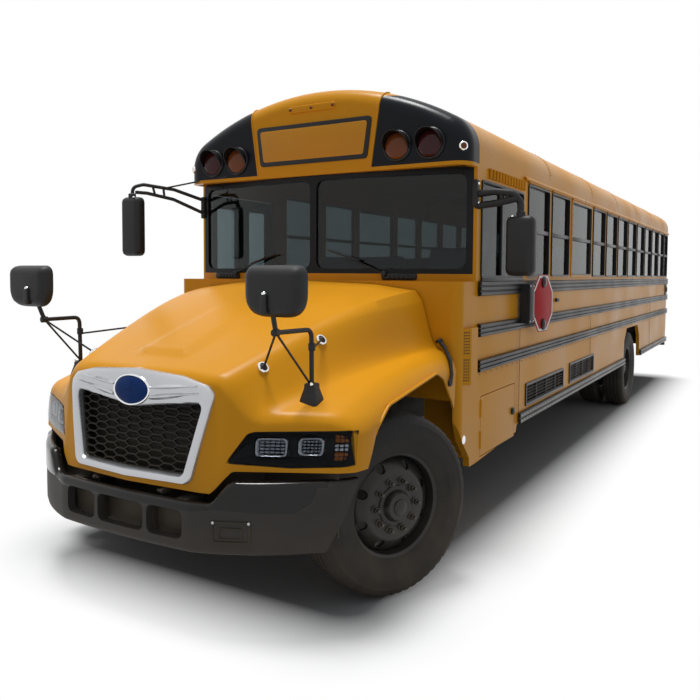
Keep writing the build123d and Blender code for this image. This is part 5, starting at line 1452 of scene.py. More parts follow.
def build_outside_mirrors():
    """Flat mirrors in moulded heads on cast arms beside the windshield."""
    shape = Shape()
    for (x, station, z), height, paths, radius in OUTSIDE_MIRRORS:
        def place(u, v, proud, x=x, station=station, z=z):
            return at(x + u, station + proud, z + v)

        low, high = (-HEAD_WIDTH / 2, -height / 2), (HEAD_WIDTH / 2, height / 2)
        cushion_plate(shape, low, high, 0.05, HEAD_STEPS, place)
        pane_low, pane_high = [c + PANE_RIM for c in low], [c - PANE_RIM for c in high]
        cushion_plate(shape, pane_low, pane_high, 0.04, PANE_STEPS, place, 1)
        for path in paths:
            shape.bent([at(*p) for p in path], radius, 0.06, 12)
        for share in (0.35, 0.7):
            shape.rod([at(*path[1]).lerp(at(*path[2]), share) for path in paths], radius * 0.7, 8)
        side = 1 if x > 0 else -1
        box_of(shape, (side * 1.19, side * 1.228), (0.895, 0.948), (2.295, 2.475), 0.008)
        for k in (2.32, 2.45):
            shape.dome(at(side * 1.228, 0.922, k), (side, 0, 0), 0.01, 0.007, 8, 2)
        top = z + height / 2
        shape.lathe([(0.0, 0.03), (0.03, 0.03), (0.036, 0.024)], at(x, station, top - 0.008), (0, 0, 1), 20)
        shape.dome(at(x - 0.05 * side, station - 0.03, top - 0.006), (0, -0.3, 1), 0.011, 0.01, 10, 2)
    shape.rod([at(-1.36, 0.64, 2.532), at(-1.05, 0.76, 2.59), at(-0.8, 0.735, 2.596)], 0.007, 8)
    make("outside_mirrors", shape, ["moulded_black", "mirror_glass", "chrome"], "bus",
         ["side_mirrors"])


FENDER_HEAD, FENDER_HEAD_SIZE, FENDER_HEAD_RADII = (0.916, -0.915, 1.75), (0.345, 0.25), (0.118, 0.06)
FENDER_HEAD_STEPS = ((0.052, -0.072), (0.034, -0.068), (0.017, -0.056), (0.006, -0.038), (0.001, -0.018),
                     (0.0, 0.0), (0.004, 0.006))
FENDER_GLASS_STEPS = ((0.01, 0.0), (0.01, 0.008), (0.03, 0.016), (0.07, 0.022))
ARM_FOOT, ARM_ELBOW = (0.9, -0.598, 1.2), (0.9, -0.604, 1.546)
ARM_CLAMP, ARM_STEM = (0.876, -0.88, 1.546), (0.886, -0.925, 1.668)
BRACE_MOUNTS = ((0.655, -0.696, 1.339), (0.764, -0.303, 1.461))
MOUNT_LEAN = Vector((0.78, -0.15, 0.6))
BOOT_ROWS = ((1.15, 0.054, 0.05), (1.168, 0.054, 0.05), (1.2, 0.046, 0.042), (1.236, 0.034, 0.032),
             (1.262, 0.031, 0.03), (1.266, 0.024, 0.024))
ARM_COLLAR = ((-0.02, 0.016), (-0.018, 0.019), (0.018, 0.019), (0.02, 0.016))
MOUNT_RING = ((-0.016, 0.034), (0.006, 0.034), (0.01, 0.031), (0.01, 0.024), (0.004, 0.023))
MOUNT_CUP = ((-0.01, 0.024), (0.005, 0.023), (0.014, 0.014), (0.02, 0.011), (0.024, 0.004))


def head_outline(inset):
    """The fender mirror's face: flat on top, round below."""
    w, h = FENDER_HEAD_SIZE[0] / 2 - inset, FENDER_HEAD_SIZE[1] / 2 - inset
    low, top = (max(r - inset, 0.004) for r in FENDER_HEAD_RADII)
    return rounded([(-w, -h), (w, -h), (w, h), (-w, h)], (low, low, top, top), 8)


def build_fender_mirrors():
    """Convex mirrors on bent arms, braced to their boots and to round mounts on the hood."""
    shape = Shape()
    for side in SIDES:
        def spot(point, step=0.0, side=side):
            x, s, z = [value + step * lean_by for value, lean_by in zip(point, MOUNT_LEAN)]
            return at(side * x, s, z)

        x, s, z = FENDER_HEAD
        for mat, steps in enumerate((FENDER_HEAD_STEPS, FENDER_GLASS_STEPS)):
            shape.tube_of([[at(side * x + u, s + proud, z + v) for u, v in head_outline(inset)]
                           for inset, proud in steps], mat)
        shape.bent([spot(ARM_FOOT), spot(ARM_ELBOW), spot(ARM_CLAMP), spot(ARM_STEM)], 0.0125, 0.045, 12)
        box_of(shape, (side * 0.868, side * 0.906), (-1.0, -0.96), (1.64, 1.735), 0.006)
        shape.dome(at(side * 0.887, -0.99, 1.742), (0, -0.6, 1), 0.014, 0.008, 10, 2)
        for centre, axis in ((ARM_CLAMP, (side * 0.1, -1, 0)), ((0.9, -0.6, 1.455), (0, 0, 1))):
            shape.lathe(ARM_COLLAR, spot(centre), axis, 14)
        shape.tube_of([[at(side * ARM_FOOT[0] + u, ARM_FOOT[1] + v, height)
                        for u, v in rounded_box(-a, -b, a, b, 0.4 * a)] for height, a, b in BOOT_ROWS])
        shape.dome(at(side * 0.918, -0.628, 1.262), (0, -0.4, 1), 0.01, 0.012, 10, 2)
        braces = [(ARM_CLAMP, (ARM_FOOT[0] - 0.01, ARM_FOOT[1] - 0.01, 1.268)),
                  (ARM_CLAMP, BRACE_MOUNTS[0]), ((0.9, -0.6, 1.44), BRACE_MOUNTS[1])]
        for start, end in braces:
            shape.rod([spot(start), spot(end, 0.012 if end in BRACE_MOUNTS else 0.0)], 0.006, 8)
        for mount in BRACE_MOUNTS:
            out = Vector((side * MOUNT_LEAN.x, MOUNT_LEAN.y, MOUNT_LEAN.z))
            shape.lathe(MOUNT_RING, spot(mount), out, 28, loop=True, mat=2)
            shape.lathe(MOUNT_CUP, spot(mount), out, 20)
    make("fender_mirrors_dressed", shape, ["moulded_black", "mirror_glass", "chrome"], "hood",
         ["fender_mirrors"])


# Front bumper

BUMPER_PLAN = ((0.48, -1.074), (0.745, -0.965), (1.04, -0.748), (1.15, -0.65), (1.2, -0.54))
BUMPER_LOW, BUMPER_TOP, BUMPER_END_TOP = 0.43, 0.685, 0.8
BUMPER_END = ((0.43, -0.73), (0.86, -0.556))
# Lower edge of the bumper's gloss band as (distance off centre, height).
BUMPER_BAND = ((0.0, 0.632), (0.46, 0.636), (0.56, 0.66), (0.745, 0.65), (0.943, 0.642), (1.007, 0.709),
               (1.058, 0.767), (1.09, 0.8), (1.3, 0.8))
BUMPER_HOLES = ((0.0, 0.342), (0.315, 0.236), (-0.315, 0.236))
HOLE_HEIGHTS = (0.49, 0.642)
BUMPER_COLUMNS, BUMPER_CREASE = 56, 40
# The access panel's two lines as (lower corner, upper corner, width).
ACCESS_PANEL = (((0.592, 0.492), (0.772, 0.604), 0.01), ((0.625, 0.512), (0.735, 0.572), 0.007))
PANEL_SECTION = ((0.0, -0.004), (0.0, 0.0008), (1.0, 0.0008), (1.0, -0.004))


def arc_through(a, b, c, count=10):
    """Points along the arc from a through b to c."""
    a, b, c = Vector(a), Vector(b), Vector(c)
    d = 2 * (a.x * (b.y - c.y) + b.x * (c.y - a.y) + c.x * (a.y - b.y))
    sizes = [p.length_squared for p in (a, b, c)]
    centre = Vector(((sizes[0] * (b.y - c.y) + sizes[1] * (c.y - a.y) + sizes[2] * (a.y - b.y)) / d,
                     (sizes[0] * (c.x - b.x) + sizes[1] * (a.x - c.x) + sizes[2] * (b.x - a.x)) / d))
    radius = (a - centre).length
    first = math.atan2(a.y - centre.y, a.x - centre.x)
    last = math.atan2(c.y - centre.y, c.x - centre.x)
    turn = (last - first + math.pi) % math.tau - math.pi
    return [centre + radius * Vector((math.cos(first + turn * k / count), math.sin(first + turn * k / count)))
            for k in range(count + 1)]


def bumper_line():
    """Half of the bumper's plan from the middle outwards."""
    inner = BUMPER_PLAN[0]
    middle = arc_through((-inner[0], inner[1]), (0.0, -BUMPER_LEAD), inner, 24)[12:]
    return middle + arc_through(*BUMPER_PLAN[:3], 16)[1:] + arc_through(*BUMPER_PLAN[2:], 12)[1:]


BUMPER_LINE = bumper_line()


def bumper_station(x):
    """Station of the bumper's face at a distance off centre."""
    return through(abs(x), [(p.x, p.y) for p in BUMPER_LINE])


def bumper_place(x, z, proud):
    """A point on the bumper's face."""
    return at(x, bumper_station(x) - proud, z)


def line_at(line, reach):
    """Point and inward direction at a length along a plan line."""
    for a, b in zip(line, line[1:]):
        span = (b - a).length
        if reach <= span or b is line[-1]:
            ahead = (b - a) / span
            return a + ahead * reach, Vector((-ahead.y, ahead.x))
        reach -= span


def length_to(line, station):
    """Length along a plan line to a station."""
    total = 0.0
    for a, b in zip(line, line[1:]):
        if b.y >= station:
            return total + (b - a).length * (station - a.y) / (b.y - a.y)
        total += (b - a).length
    return total


def bumper_section(x):
    """The bumper's section as (height, inset) with a step at the gloss band."""
    top = BUMPER_TOP + (BUMPER_END_TOP - BUMPER_TOP) * smooth_step(0.555, 0.645, abs(x))
    band = min(through(abs(x), BUMPER_BAND), top - 0.03)
    low = BUMPER_LOW
    return ((low + 0.012, 0.052), (low, 0.04), (low, 0.022), (low + 0.01, 0.009), (low + 0.03, 0.0045),
            (band * 0.5 + low * 0.5, 0.004), (band - 0.006, 0.0045), (band, 0.002), (band + 0.005, 0.0005),
            (top - 0.03, 0.0005), (top - 0.013, 0.004), (top - 0.003, 0.014), (top, 0.026), (top, 0.042),
            (top - 0.012, 0.056))


def build_bumper():
    """The swept bumper with its gloss band, air openings, access panel and splash shields."""
    shape = Shape()
    rows = []
    middle_length = length_to(BUMPER_LINE, through(0.6, BUMPER_END))
    for k in range(-BUMPER_COLUMNS, BUMPER_COLUMNS + 1):
        share = abs(k) / BUMPER_COLUMNS
        side = 1 if k >= 0 else -1
        x = line_at(BUMPER_LINE, share * middle_length)[0].x
        row = []
        for z, inset in bumper_section(x):
            end = length_to(BUMPER_LINE, through(z, BUMPER_END))
            point, inward = line_at(BUMPER_LINE, share * end)
            point = point + inward * inset
            row.append(at(side * point.x, point.y, z))
        rows.append(row)
    shape.tube_of(rows)
    bmesh.ops.recalc_face_normals(shape.bm, faces=shape.bm.faces)
    if shape.bm.calc_volume(signed=True) < 0:
        bmesh.ops.reverse_faces(shape.bm, faces=shape.bm.faces)
    for face in shape.bm.faces:
        middle = face.calc_center_median()
        edge = through(abs(middle.x), BUMPER_BAND)
        face.material_index = 1 if middle.z > edge - 0.002 else 0
    obj = make("bumper_face", shape, ["bumper_matte", "gloss_black"], "bus", ["front_bumper"],
               crease=BUMPER_CREASE, turn_out=False)
    holes = Shape()
    for x, width in BUMPER_HOLES:
        outline = rounded_box(x - width / 2, HOLE_HEIGHTS[0], x + width / 2, HOLE_HEIGHTS[1], 0.045)
        holes.plate([at(u, -1.2, v) for u, v in outline], (0, 0.3, 0))
    cut(obj, [holes], BUMPER_CREASE)
    back = Shape()
    box_of(back, (-0.462, 0.462), (-1.004, -0.99), (0.47, 0.66), 0.002)
    for x in (-0.19, 0.19):
        box_of(back, (x - 0.008, x + 0.008), (-1.045, -0.995), (0.48, 0.65), 0.002)
    for side in SIDES:
        box_of(back, (side * 0.356, side * 0.428), (-1.032, -0.9), (0.646, 0.684), 0.003)
    for low, high, width in ACCESS_PANEL:
        outer = resample(rounded_box(*low, *high, 0.01), 64)
        inner = resample(inset_box(low, high, width, 0.006), 64)
        moulding(back, outer, inner, PANEL_SECTION, bumper_place)
    for x in (0.6, 0.764):
        back.dome(bumper_place(x, 0.596, 0.0), (0.35, -1, 0), 0.009, 0.006, 8, 1)
    for side in SIDES:
        box_of(back, (side * 0.64, side * 1.11), (-0.668, -0.66), (0.5, 0.86), 0.002)
    make("bumper_panel", back, ["chassis_black", "bare_steel"], "bus")


# Stop sign

STOP_HINGE, STOP_REST, STOP_HEIGHT = (1.29, 1.968), math.radians(4), 1.605
STOP_HALF, STOP_MIDDLE, STOP_PINS = 0.235, 0.261, (1.5, 1.7)
STOP_LAMPS = (-0.175, 0.175)
STOP_EDGE = ((0.002, -0.003), (0.0, -0.0015), (0.0, 0.0015), (0.002, 0.003))
STOP_BORDER = ((0.0, 0.0026), (0.02, 0.0036), (0.98, 0.0036), (1.0, 0.0026))
STOP_RING = ((0.0, 0.046), (0.012, 0.046), (0.015, 0.043), (0.015, 0.039), (0.0, 0.038))
STOP_LENS = ((0.0, 0.04), (0.014, 0.039), (0.02, 0.028), (0.023, 0.012), (0.0236, 0.003))
STOP_TAB = ((0.008, -0.008), (0.075, -0.022), (0.075, 0.022), (0.008, 0.008))
STOP_EYE = ((-0.0085, 0.0102), (-0.0085, 0.0155), (0.0085, 0.0155), (0.0085, 0.0102))
STOP_BOX = ((1.239, 1.312), (1.836, 1.95), (1.457, 1.766))


def stop_place(u, v, proud):
    """A point on the stop sign from its distance along, its height and its push outwards."""
    across, along = math.sin(STOP_REST), math.cos(STOP_REST)
    x, s = STOP_HINGE
    return at(x + across * u + along * proud, s + along * u - across * proud, STOP_HEIGHT + v)


def octagon(inset):
    """The stop sign's outline."""
    radius = (STOP_HALF - inset) / math.cos(math.pi / 8)
    corners = [math.tau * (k + 0.5) / 8 for k in range(8)]
    return rounded([(STOP_MIDDLE + radius * math.cos(a), radius * math.sin(a)) for a in corners], 0.012, 3)


def build_stop_sign():
    """A blank octagon with a pale border, two lamps and its hinge tabs."""
    shape = Shape()
    shape.tube_of([[stop_place(u, v, proud) for u, v in octagon(inset)] for inset, proud in STOP_EDGE])
    out = stop_place(0, 0, 1.0) - stop_place(0, 0, 0.0)
    for way in SIDES:
        border = [(share, proud * way) for share, proud in STOP_BORDER]
        moulding(shape, octagon(0.007), octagon(0.026), border, stop_place, 1)
    for z in STOP_LAMPS:
        spot = stop_place(STOP_MIDDLE, z, 0.003)
        shape.lathe(STOP_RING, spot, out, 32, loop=True, mat=2)
        shape.lathe(STOP_LENS, spot, out, 28, mat=3)
    for z in STOP_PINS:
        v = z - STOP_HEIGHT
        shape.plate([stop_place(u, v + h, -0.003) for u, h in STOP_TAB], out * 0.006, 0.001, 2)
        shape.lathe(STOP_EYE, stop_place(0, v, 0), (0, 0, 1), 20, loop=True, mat=2)
        for u in (0.055, 0.068):
            shape.dome(stop_place(u, v, 0.003), out, 0.006, 0.004, 8, 2)
    make("stop_octagon", shape, ["stop_red", "sign_white", "moulded_black", "red_lens"], "stop_arm",
         ["stop_sign"])
    cover = Shape()
    x, s, z = STOP_BOX
    cushion_plate(cover, (s[0] + 0.004, z[0] + 0.004), (s[1] - 0.004, z[1] - 0.004), 0.014,
                  ((0.0, -0.002), (0.0, 0.003), (0.003, 0.005)), lambda u, v, proud: at(x[1] + proud, u, v))
    for u in (s[0] + 0.014, s[1] - 0.014):
        for v in (z[0] + 0.016, z[1] - 0.016):
            cover.dome(at(x[1] + 0.005, u, v), (1, 0, 0), 0.007, 0.004, 8, 1)
    make("stop_box_cover", cover, ["moulded_black", "bare_steel"], "bus")


# Fittings on the sides and the nose

GRILLES = (((2.075, 0.757), (3.28, 0.945), 3), ((3.516, 0.76), (4.601, 0.963), 3))
SLAT_PITCH = 0.0265
VENT_EDGE, VENT_LOW = ((1.18, 0.655), (1.26, 0.748)), 1.11
SIDE_MARKER, CORNER_PANEL = (2.973, 1.609), ((10.385, 1.5), (10.59, 1.69))
BATTERY_LATCH = (1.741, 0.773)
COWL_BUTTON = (1.216, 0.74, 0.74)
PLATE_STEPS = ((0.0, -0.003), (0.0, 0.004), (0.002, 0.006))
MARKER_STEPS = ((0.0, -0.003), (0.0, 0.01), (0.004, 0.014), (0.01, 0.015))
REFLECTOR = ((0.0, 0.052), (0.008, 0.052), (0.016, 0.04), (0.02, 0.016), (0.0205, 0.003))
BUTTON_PROFILE = ((-0.006, 0.03), (0.003, 0.03), (0.008, 0.024), (0.01, 0.01))
HOOD_LATCH = ((1.085, 0.615, 1.405), (1.135, 0.6, 1.362), (1.19, 0.56, 1.285), (1.212, 0.53, 1.2),
              (1.212, 0.512, 1.151))


def vent_place(u, z, proud):
    """A point on the cowl vent's slanted face."""
    a, b = (Vector(p) for p in VENT_EDGE)
    spot = a.lerp(b, u)
    ahead = (b - a).normalized()
    return at(spot.x + ahead.y * proud, spot.y - ahead.x * proud, z)


def build_fittings():
    """Skirt grilles with a black sheet behind them as painted shade, vent holes, markers, corner lamps, cowl
    buttons and the battery door's latch.
    """
    shape = Shape()
    place = wall_place(1)
    for low, high, parts in GRILLES:
        pane_frame(shape, place, low, high, 0.022, 0.02)
        count = int((high[1] - low[1] - 0.04) / SLAT_PITCH)
        for k in range(count + 1):
            z = low[1] + 0.018 + SLAT_PITCH * k
            section = ((z, -0.024), (z + 0.004, -0.025), (z + 0.015, -0.006), (z + 0.012, -0.004))
            drawn(shape, section, low[0] + 0.015, high[0] - 0.015, place)
        for k in range(1, parts + 1):
            s = low[0] + (high[0] - low[0]) * k / (parts + 1)
            on_wall(shape, 1, (s - 0.006, s + 0.006), (low[1] + 0.01, high[1] - 0.01), (-0.025, -0.003),
                    0.002)
    # A black sheet just inside the wall behind the slats: painted shade standing in for the dark inside of
    # the skirt.
    box_of(shape, (1.15, 1.156), (GRILLES[0][0][0] - 0.02, GRILLES[1][1][0] + 0.02), (0.735, 0.985), 0.001, 1)
    make("skirt_slats", shape, ["rail_black", "chassis_black"], "bus", ["skirt_grilles"])
    vent = Shape()
    out = vent_place(0.5, 1.3, 1.0) - vent_place(0.5, 1.3, 0.0)
    for column in (0, 1):
        for row in (0, 1):
            for i in range(3):
                for k in range(8):
                    u = 0.12 + 0.46 * column + 0.13 * i
                    z = VENT_LOW + 0.03 + 0.18 * row + 0.0195 * k
                    vent.dome(vent_place(u, z, 0.0), out, 0.0058, 0.001, 8)
    for side in SIDES:
        place = wall_place(side)
        s, z = SIDE_MARKER
        cushion_plate(vent, (s - 0.045, z - 0.016), (s + 0.045, z + 0.016), 0.014, MARKER_STEPS, place)
        low, high = CORNER_PANEL
        cushion_plate(vent, low, high, 0.02, PLATE_STEPS, place)
        middle = [(a + b) / 2 for a, b in zip(low, high)]
        vent.lathe(REFLECTOR, place(*middle, 0.005), (side, 0, 0), 28, mat=1)
        x, s, z = COWL_BUTTON
        vent.lathe(BUTTON_PROFILE, at(x * side, s, z), (side, 0, 0), 20, mat=2)
    make("side_markers", vent, ["rail_black", "red_lens", "chrome"], "bus")
    latch = Shape()
    s, z = BATTERY_LATCH
    cushion_plate(latch, (s - 0.028, z - 0.026), (s + 0.028, z + 0.026), 0.01,
                  ((0.0, -0.003), (0.0, 0.004), (0.003, 0.006)), wall_place(1))
    cushion_plate(latch, (s - 0.018, z - 0.017), (s + 0.018, z + 0.014), 0.008,
                  ((0.0, 0.004), (0.0, 0.008), (0.004, 0.0095)), wall_place(1))
    make("battery_latch", latch, ["moulded_black"], "battery_door")


def build_nose_fittings():
    """Rubber hood latches and the rolled lips of the wheel arches."""
    shape = Shape()
    for side in SIDES:
        path = [at(x * side, s, z) for x, s, z in HOOD_LATCH]
        shape.bent(path, 0.013, 0.05, 12)
        for spot, axis in ((path[0], (-0.4 * side, 0, 1)), (path[-1], (side, 0, 0))):
            shape.lathe([(-0.012, 0.024), (0.004, 0.024), (0.009, 0.018)], spot, axis, 20)
    make("hood_latches", shape, ["moulded_black"], "hood")
    lips = Shape()
    line = [(s, z) for s, z in rounded(ARCH, 0.1, 8) if z > 0.852 and s < HOOD_REAR - 0.012]
    for side in SIDES:
        lips.rod([at(1.1985 * side, s, z) for s, z in line], 0.009, 10)
    make("arch_lips", lips, ["school_yellow"], "hood")


# Engine bay

ENGINE_TOP, COVER_HALF, COVER_STATIONS = 1.33, 0.15, (-0.48, 0.36)
COVER_STEPS = ((0.0, -0.004), (0.0, 0.026), (0.008, 0.042), (0.022, 0.048))
CLEANER_X, CLEANER_Z = 0.275, 1.412
CLEANER = ((-0.3, 0.06), (-0.29, 0.074), (-0.27, 0.078), (0.2, 0.078), (0.21, 0.084), (0.23, 0.084),
           (0.24, 0.07), (0.25, 0.03))
CLEANER_STRAP = ((-0.012, 0.079), (-0.012, 0.081), (0.012, 0.081), (0.012, 0.079))
FILLER_CAP = ((0.0, 0.034), (0.016, 0.034), (0.022, 0.026))


def build_engine():
    """Rocker cover, intake runners, air cleaner and hoses, seen when the nose is tilted."""
    shape = Shape()
    cushion_plate(shape, (-COVER_HALF, COVER_STATIONS[0]), (COVER_HALF, COVER_STATIONS[1]), 0.05, COVER_STEPS,
                  lambda u, v, proud: at(u, v, ENGINE_TOP + proud))
    for k in range(9):
        s = COVER_STATIONS[0] + 0.06 + 0.09 * k
        shape.rod([at(-0.125, s, ENGINE_TOP + 0.048), at(0.125, s, ENGINE_TOP + 0.048)], 0.006, 8)
        for x in (-0.142, 0.142):
            shape.dome(at(x, s + 0.045, ENGINE_TOP + 0.036), (0, 0, 1), 0.009, 0.008, 6, 2)
    for k in range(6):
        s = COVER_STATIONS[0] + 0.08 + 0.135 * k
        shape.bent([at(-0.14, s, ENGINE_TOP + 0.01), at(-0.3, s, ENGINE_TOP + 0.028),
                    at(-0.415, s, ENGINE_TOP - 0.02), at(-0.415, s, 1.16)], 0.027, 0.08, 14, mat=1)
    shape.bent([at(-0.415, -0.5, 1.13), at(-0.415, 0.3, 1.13), at(-0.3, 0.42, 1.18)], 0.046, 0.1, 18, mat=1)
    shape.lathe(CLEANER, at(CLEANER_X, -0.08, CLEANER_Z), (0, 1, 0), 36, mat=3)
    for s in (-0.26, 0.06):
        shape.lathe(CLEANER_STRAP, at(CLEANER_X, s, CLEANER_Z), (0, 1, 0), 36, loop=True, mat=2)
    for x, start, end in ((0.33, 1.16, 1.29), (-0.33, 0.9, 0.98)):
        shape.bent([at(x, -0.815, start), at(x, -0.74, start), at(x, -0.7, end), at(x * 0.8, -0.56, end)],
                   0.028, 0.05, 14, mat=3)
    shape.lathe(FILLER_CAP, at(0.05, 0.26, ENGINE_TOP + 0.046), (0, 0, 1), 12, mat=3)
    make("engine_dressing", shape, ["chassis_black", "cast_iron", "bare_steel", "moulded_black"], "bus")


# Seats

BENCH_ROWS, BENCH_FIRST, BENCH_PITCH = 12, 2.56, 0.711
BENCH_MIDDLE, BENCH_HALF, BENCH_LOW, BENCH_HIGH = 0.67, (0.495, 0.195), 1.375, 1.49
BACK_HALF, BACK_THICK, BACK_SLANT, FLOOR_TOP = (0.495, 0.32), 0.075, 0.06, 1.055
DRIVER_MIDDLE, DRIVER_EDGE, DRIVER_HEIGHTS = 0.615, 1.9, (1.43, 1.54)
FOOT_X, RAIL_Z = 0.25, FLOOR_TOP + 0.012
# Rings of a pad as (share of the smaller half set in, share of its thickness).
PAD_RINGS = ((0.34, 0.0), (0.1, 0.02), (0.03, 0.12), (0.0, 0.34), (0.004, 0.56), (0.035, 0.74), (0.1, 0.86),
             (0.24, 0.94), (0.48, 0.985), (0.8, 1.0))
PIPING_RING = 4


def pad(shape, half, place):
    """A crowned pad, pinched in between its corners, with piping round its face."""
    rows = []
    for inset, level in PAD_RINGS:
        a, b = half[0] - inset * min(half), half[1] - inset * min(half)
        outline = resample(rounded_box(-a, -b, a, b, 0.055 if inset < 0.2 else 0.02, 4), 56)
        rows.append([place(u * (1 - 0.022 * (1 - (v / b) ** 2)), v * (1 - 0.035 * (1 - (u / a) ** 2)), level)
                     for u, v in outline])
    shape.tube_of(rows)
    line = rows[PIPING_RING]
    shape.rod(line + line[:2], 0.005, 6, mat=1)


def build_seats():
    """Crowned vinyl benches and the driver's seat on tube frames."""
    cushions, backs, frames = Shape(), Shape(), Shape()
    for row in range(BENCH_ROWS):
        edge = BENCH_FIRST + BENCH_PITCH * row
        for side in SIDES:
            middle = BENCH_MIDDLE * side
            seat_pads(cushions, backs, middle, edge, BENCH_HALF, (BENCH_LOW, BENCH_HIGH), BACK_HALF)
            for s in (edge - 0.33, edge - 0.07):
                frames.bent([at(side * FOOT_X, s, FLOOR_TOP), at(side * FOOT_X, s, BENCH_LOW + 0.002),
                             at(side * 1.15, s, BENCH_LOW + 0.002)], 0.014, 0.05, 8)
            frames.rod([at(side * FOOT_X, s, RAIL_Z) for s in (edge - 0.34, edge - 0.06)], 0.012, 8)
    seat_pads(cushions, backs, DRIVER_MIDDLE, DRIVER_EDGE, (0.235, 0.21), DRIVER_HEIGHTS, (0.225, 0.32))
    box_of(frames, (0.5, 0.73), (1.56, 1.82), (FLOOR_TOP, DRIVER_HEIGHTS[0] + 0.01), 0.012)
    for name, shape, node in (("bench_cushions", cushions, "seats"), ("bench_backs", backs, "seat_backs")):
        obj = make(name, shape, ["seat_vinyl", "seat_piping"], "bus", [node], crease=60)
    make("seat_frames", frames, ["chassis_black"], "bus")


def seat_pads(cushions, backs, middle, edge, half, heights, back_half):
    """One cushion and its back."""
    low, high = heights

    def on_cushion(u, v, level):
        return at(middle + u, edge - half[1] + v, low + (high - low) * level)

    def on_back(u, v, level):
        rise = (v + back_half[1]) / (2 * back_half[1])
        return at(middle + u, edge + BACK_SLANT * rise + BACK_THICK * (1 - level), low + back_half[1] + v)

    pad(cushions, half, on_cushion)
    pad(backs, back_half, on_back)


# Rear wall and doors

REAR_WINDOW, REAR_DOOR_GLASS = ((0.44, 1.83), (1.06, 2.45)), ((-0.262, 1.197), (0.262, 2.323))
HANDLE_STEPS = ((0.0, -0.003), (0.0, 0.006), (0.004, 0.009))
# The rear door's handle as (height, proud) along its bow.
HANDLE_X, HANDLE_BOW = 0.299, ((1.35, 0.006), (1.35, 0.04), (1.45, 0.04), (1.45, 0.006))
LEAF_GLASS = (("front", (1.05, 0.56), (1.352, 2.42)), ("rear", (1.483, 0.56), (1.785, 2.42)))


def build_rear():
    """Frames round the rear glass, the rear door's handle and bar, and the entrance leaves' frames."""
    shape = Shape()
    for side in SIDES:
        low, high = REAR_WINDOW
        pane_frame(shape, lambda u, v, proud, side=side: back_place(side * u, v, proud), low, high, 0.03)
    make("rear_frames", shape, ["rail_black"], "bus")
    door = Shape()
    low, high = REAR_DOOR_GLASS
    pane_frame(door, back_place, low, high, 0.03)
    box_of(door, (low[0] + 0.02, high[0] - 0.02), (BODY_REAR - 0.026, BODY_REAR - 0.002), (1.735, 1.785),
           0.004)
    cushion_plate(door, (0.278, 1.33), (0.32, 1.47), 0.014, HANDLE_STEPS, back_place)
    door.bent([back_place(HANDLE_X, z, proud) for z, proud in HANDLE_BOW], 0.008, 0.015, 10, mat=1)
    make("rear_door_trim", door, ["rail_black", "bare_steel"], "emergency_door")
    for label, low, high in LEAF_GLASS:
        leaf = Shape()
        pane_frame(leaf, wall_place(-1), low, high, 0.026, 0.05)
        make("entrance_frame_" + label, leaf, ["moulded_black"], "entrance_" + label)


# Stage

PHOTO_SIZE = 700
CAMERA_PLACE = (2.98337, -3.71537, 1.83338)
CAMERA_YAW, CAMERA_PITCH, CAMERA_ROLL = math.radians(30.35), math.radians(3.07), math.radians(0.37)
FOCAL_PIXELS, CENTRE_PIXEL = 721.0, (354.95, 313.05)


def build_camera():
    """The camera at the photograph's place."""
    level = math.cos(CAMERA_PITCH)
    ahead = Vector((-math.sin(CAMERA_YAW) * level, math.cos(CAMERA_YAW) * level, -math.sin(CAMERA_PITCH)))
    right = ahead.cross(Vector((0, 0, 1))).normalized()
    up = right.cross(ahead)
    turned_right = right * math.cos(CAMERA_ROLL) + up * math.sin(CAMERA_ROLL)
    turned_up = up * math.cos(CAMERA_ROLL) - right * math.sin(CAMERA_ROLL)
    data = bpy.data.cameras.new("photo_camera")
    data.sensor_width = 36.0
    data.lens = FOCAL_PIXELS / PHOTO_SIZE * data.sensor_width
    data.shift_x = -(CENTRE_PIXEL[0] - PHOTO_SIZE / 2) / PHOTO_SIZE
    data.shift_y = -(PHOTO_SIZE / 2 - CENTRE_PIXEL[1]) / PHOTO_SIZE
    data.clip_end = 200.0
    camera = bpy.data.objects.new("photo_camera", data)
    bpy.context.scene.collection.objects.link(camera)
    turn = Matrix((turned_right, turned_up, -ahead)).transposed().to_4x4()
    camera.matrix_world = Matrix.Translation(at(*CAMERA_PLACE)) @ turn
    bpy.context.scene.camera = camera


# The bus's footprint on the floor and the reach over which the floor fades to white; near the footprint the
# seen floor colour drops to a darker grey, a painted contact shadow.
FLOOR_HALF, FLOOR_CORE, FLOOR_FADE = 60.0, (0.95, 5.2), (0.15, 0.85)
FLOOR_PAINTED_SHADOW, FLOOR_SEEN, FLOOR_BOUNCE = 0.36, 0.88, 0.39


def seen_rays(tree):
    """1 for the rays that show a surface or the backdrop, not those that light the bus."""
    rays = tree.nodes.new("ShaderNodeLightPath")
    glossy = math_node(tree, "MAXIMUM", rays.outputs["Is Glossy Ray"], rays.outputs["Is Transmission Ray"])
    return math_node(tree, "MAXIMUM", rays.outputs["Is Camera Ray"], glossy)


def mix_shaders(tree, share, first, second):
    """One shader fading to another by a mask."""
    mix = tree.nodes.new("ShaderNodeMixShader")
    tree.links.new(share, mix.inputs["Fac"])
    tree.links.new(first, mix.inputs[1])
    tree.links.new(second, mix.inputs[2])
    return mix.outputs["Shader"]


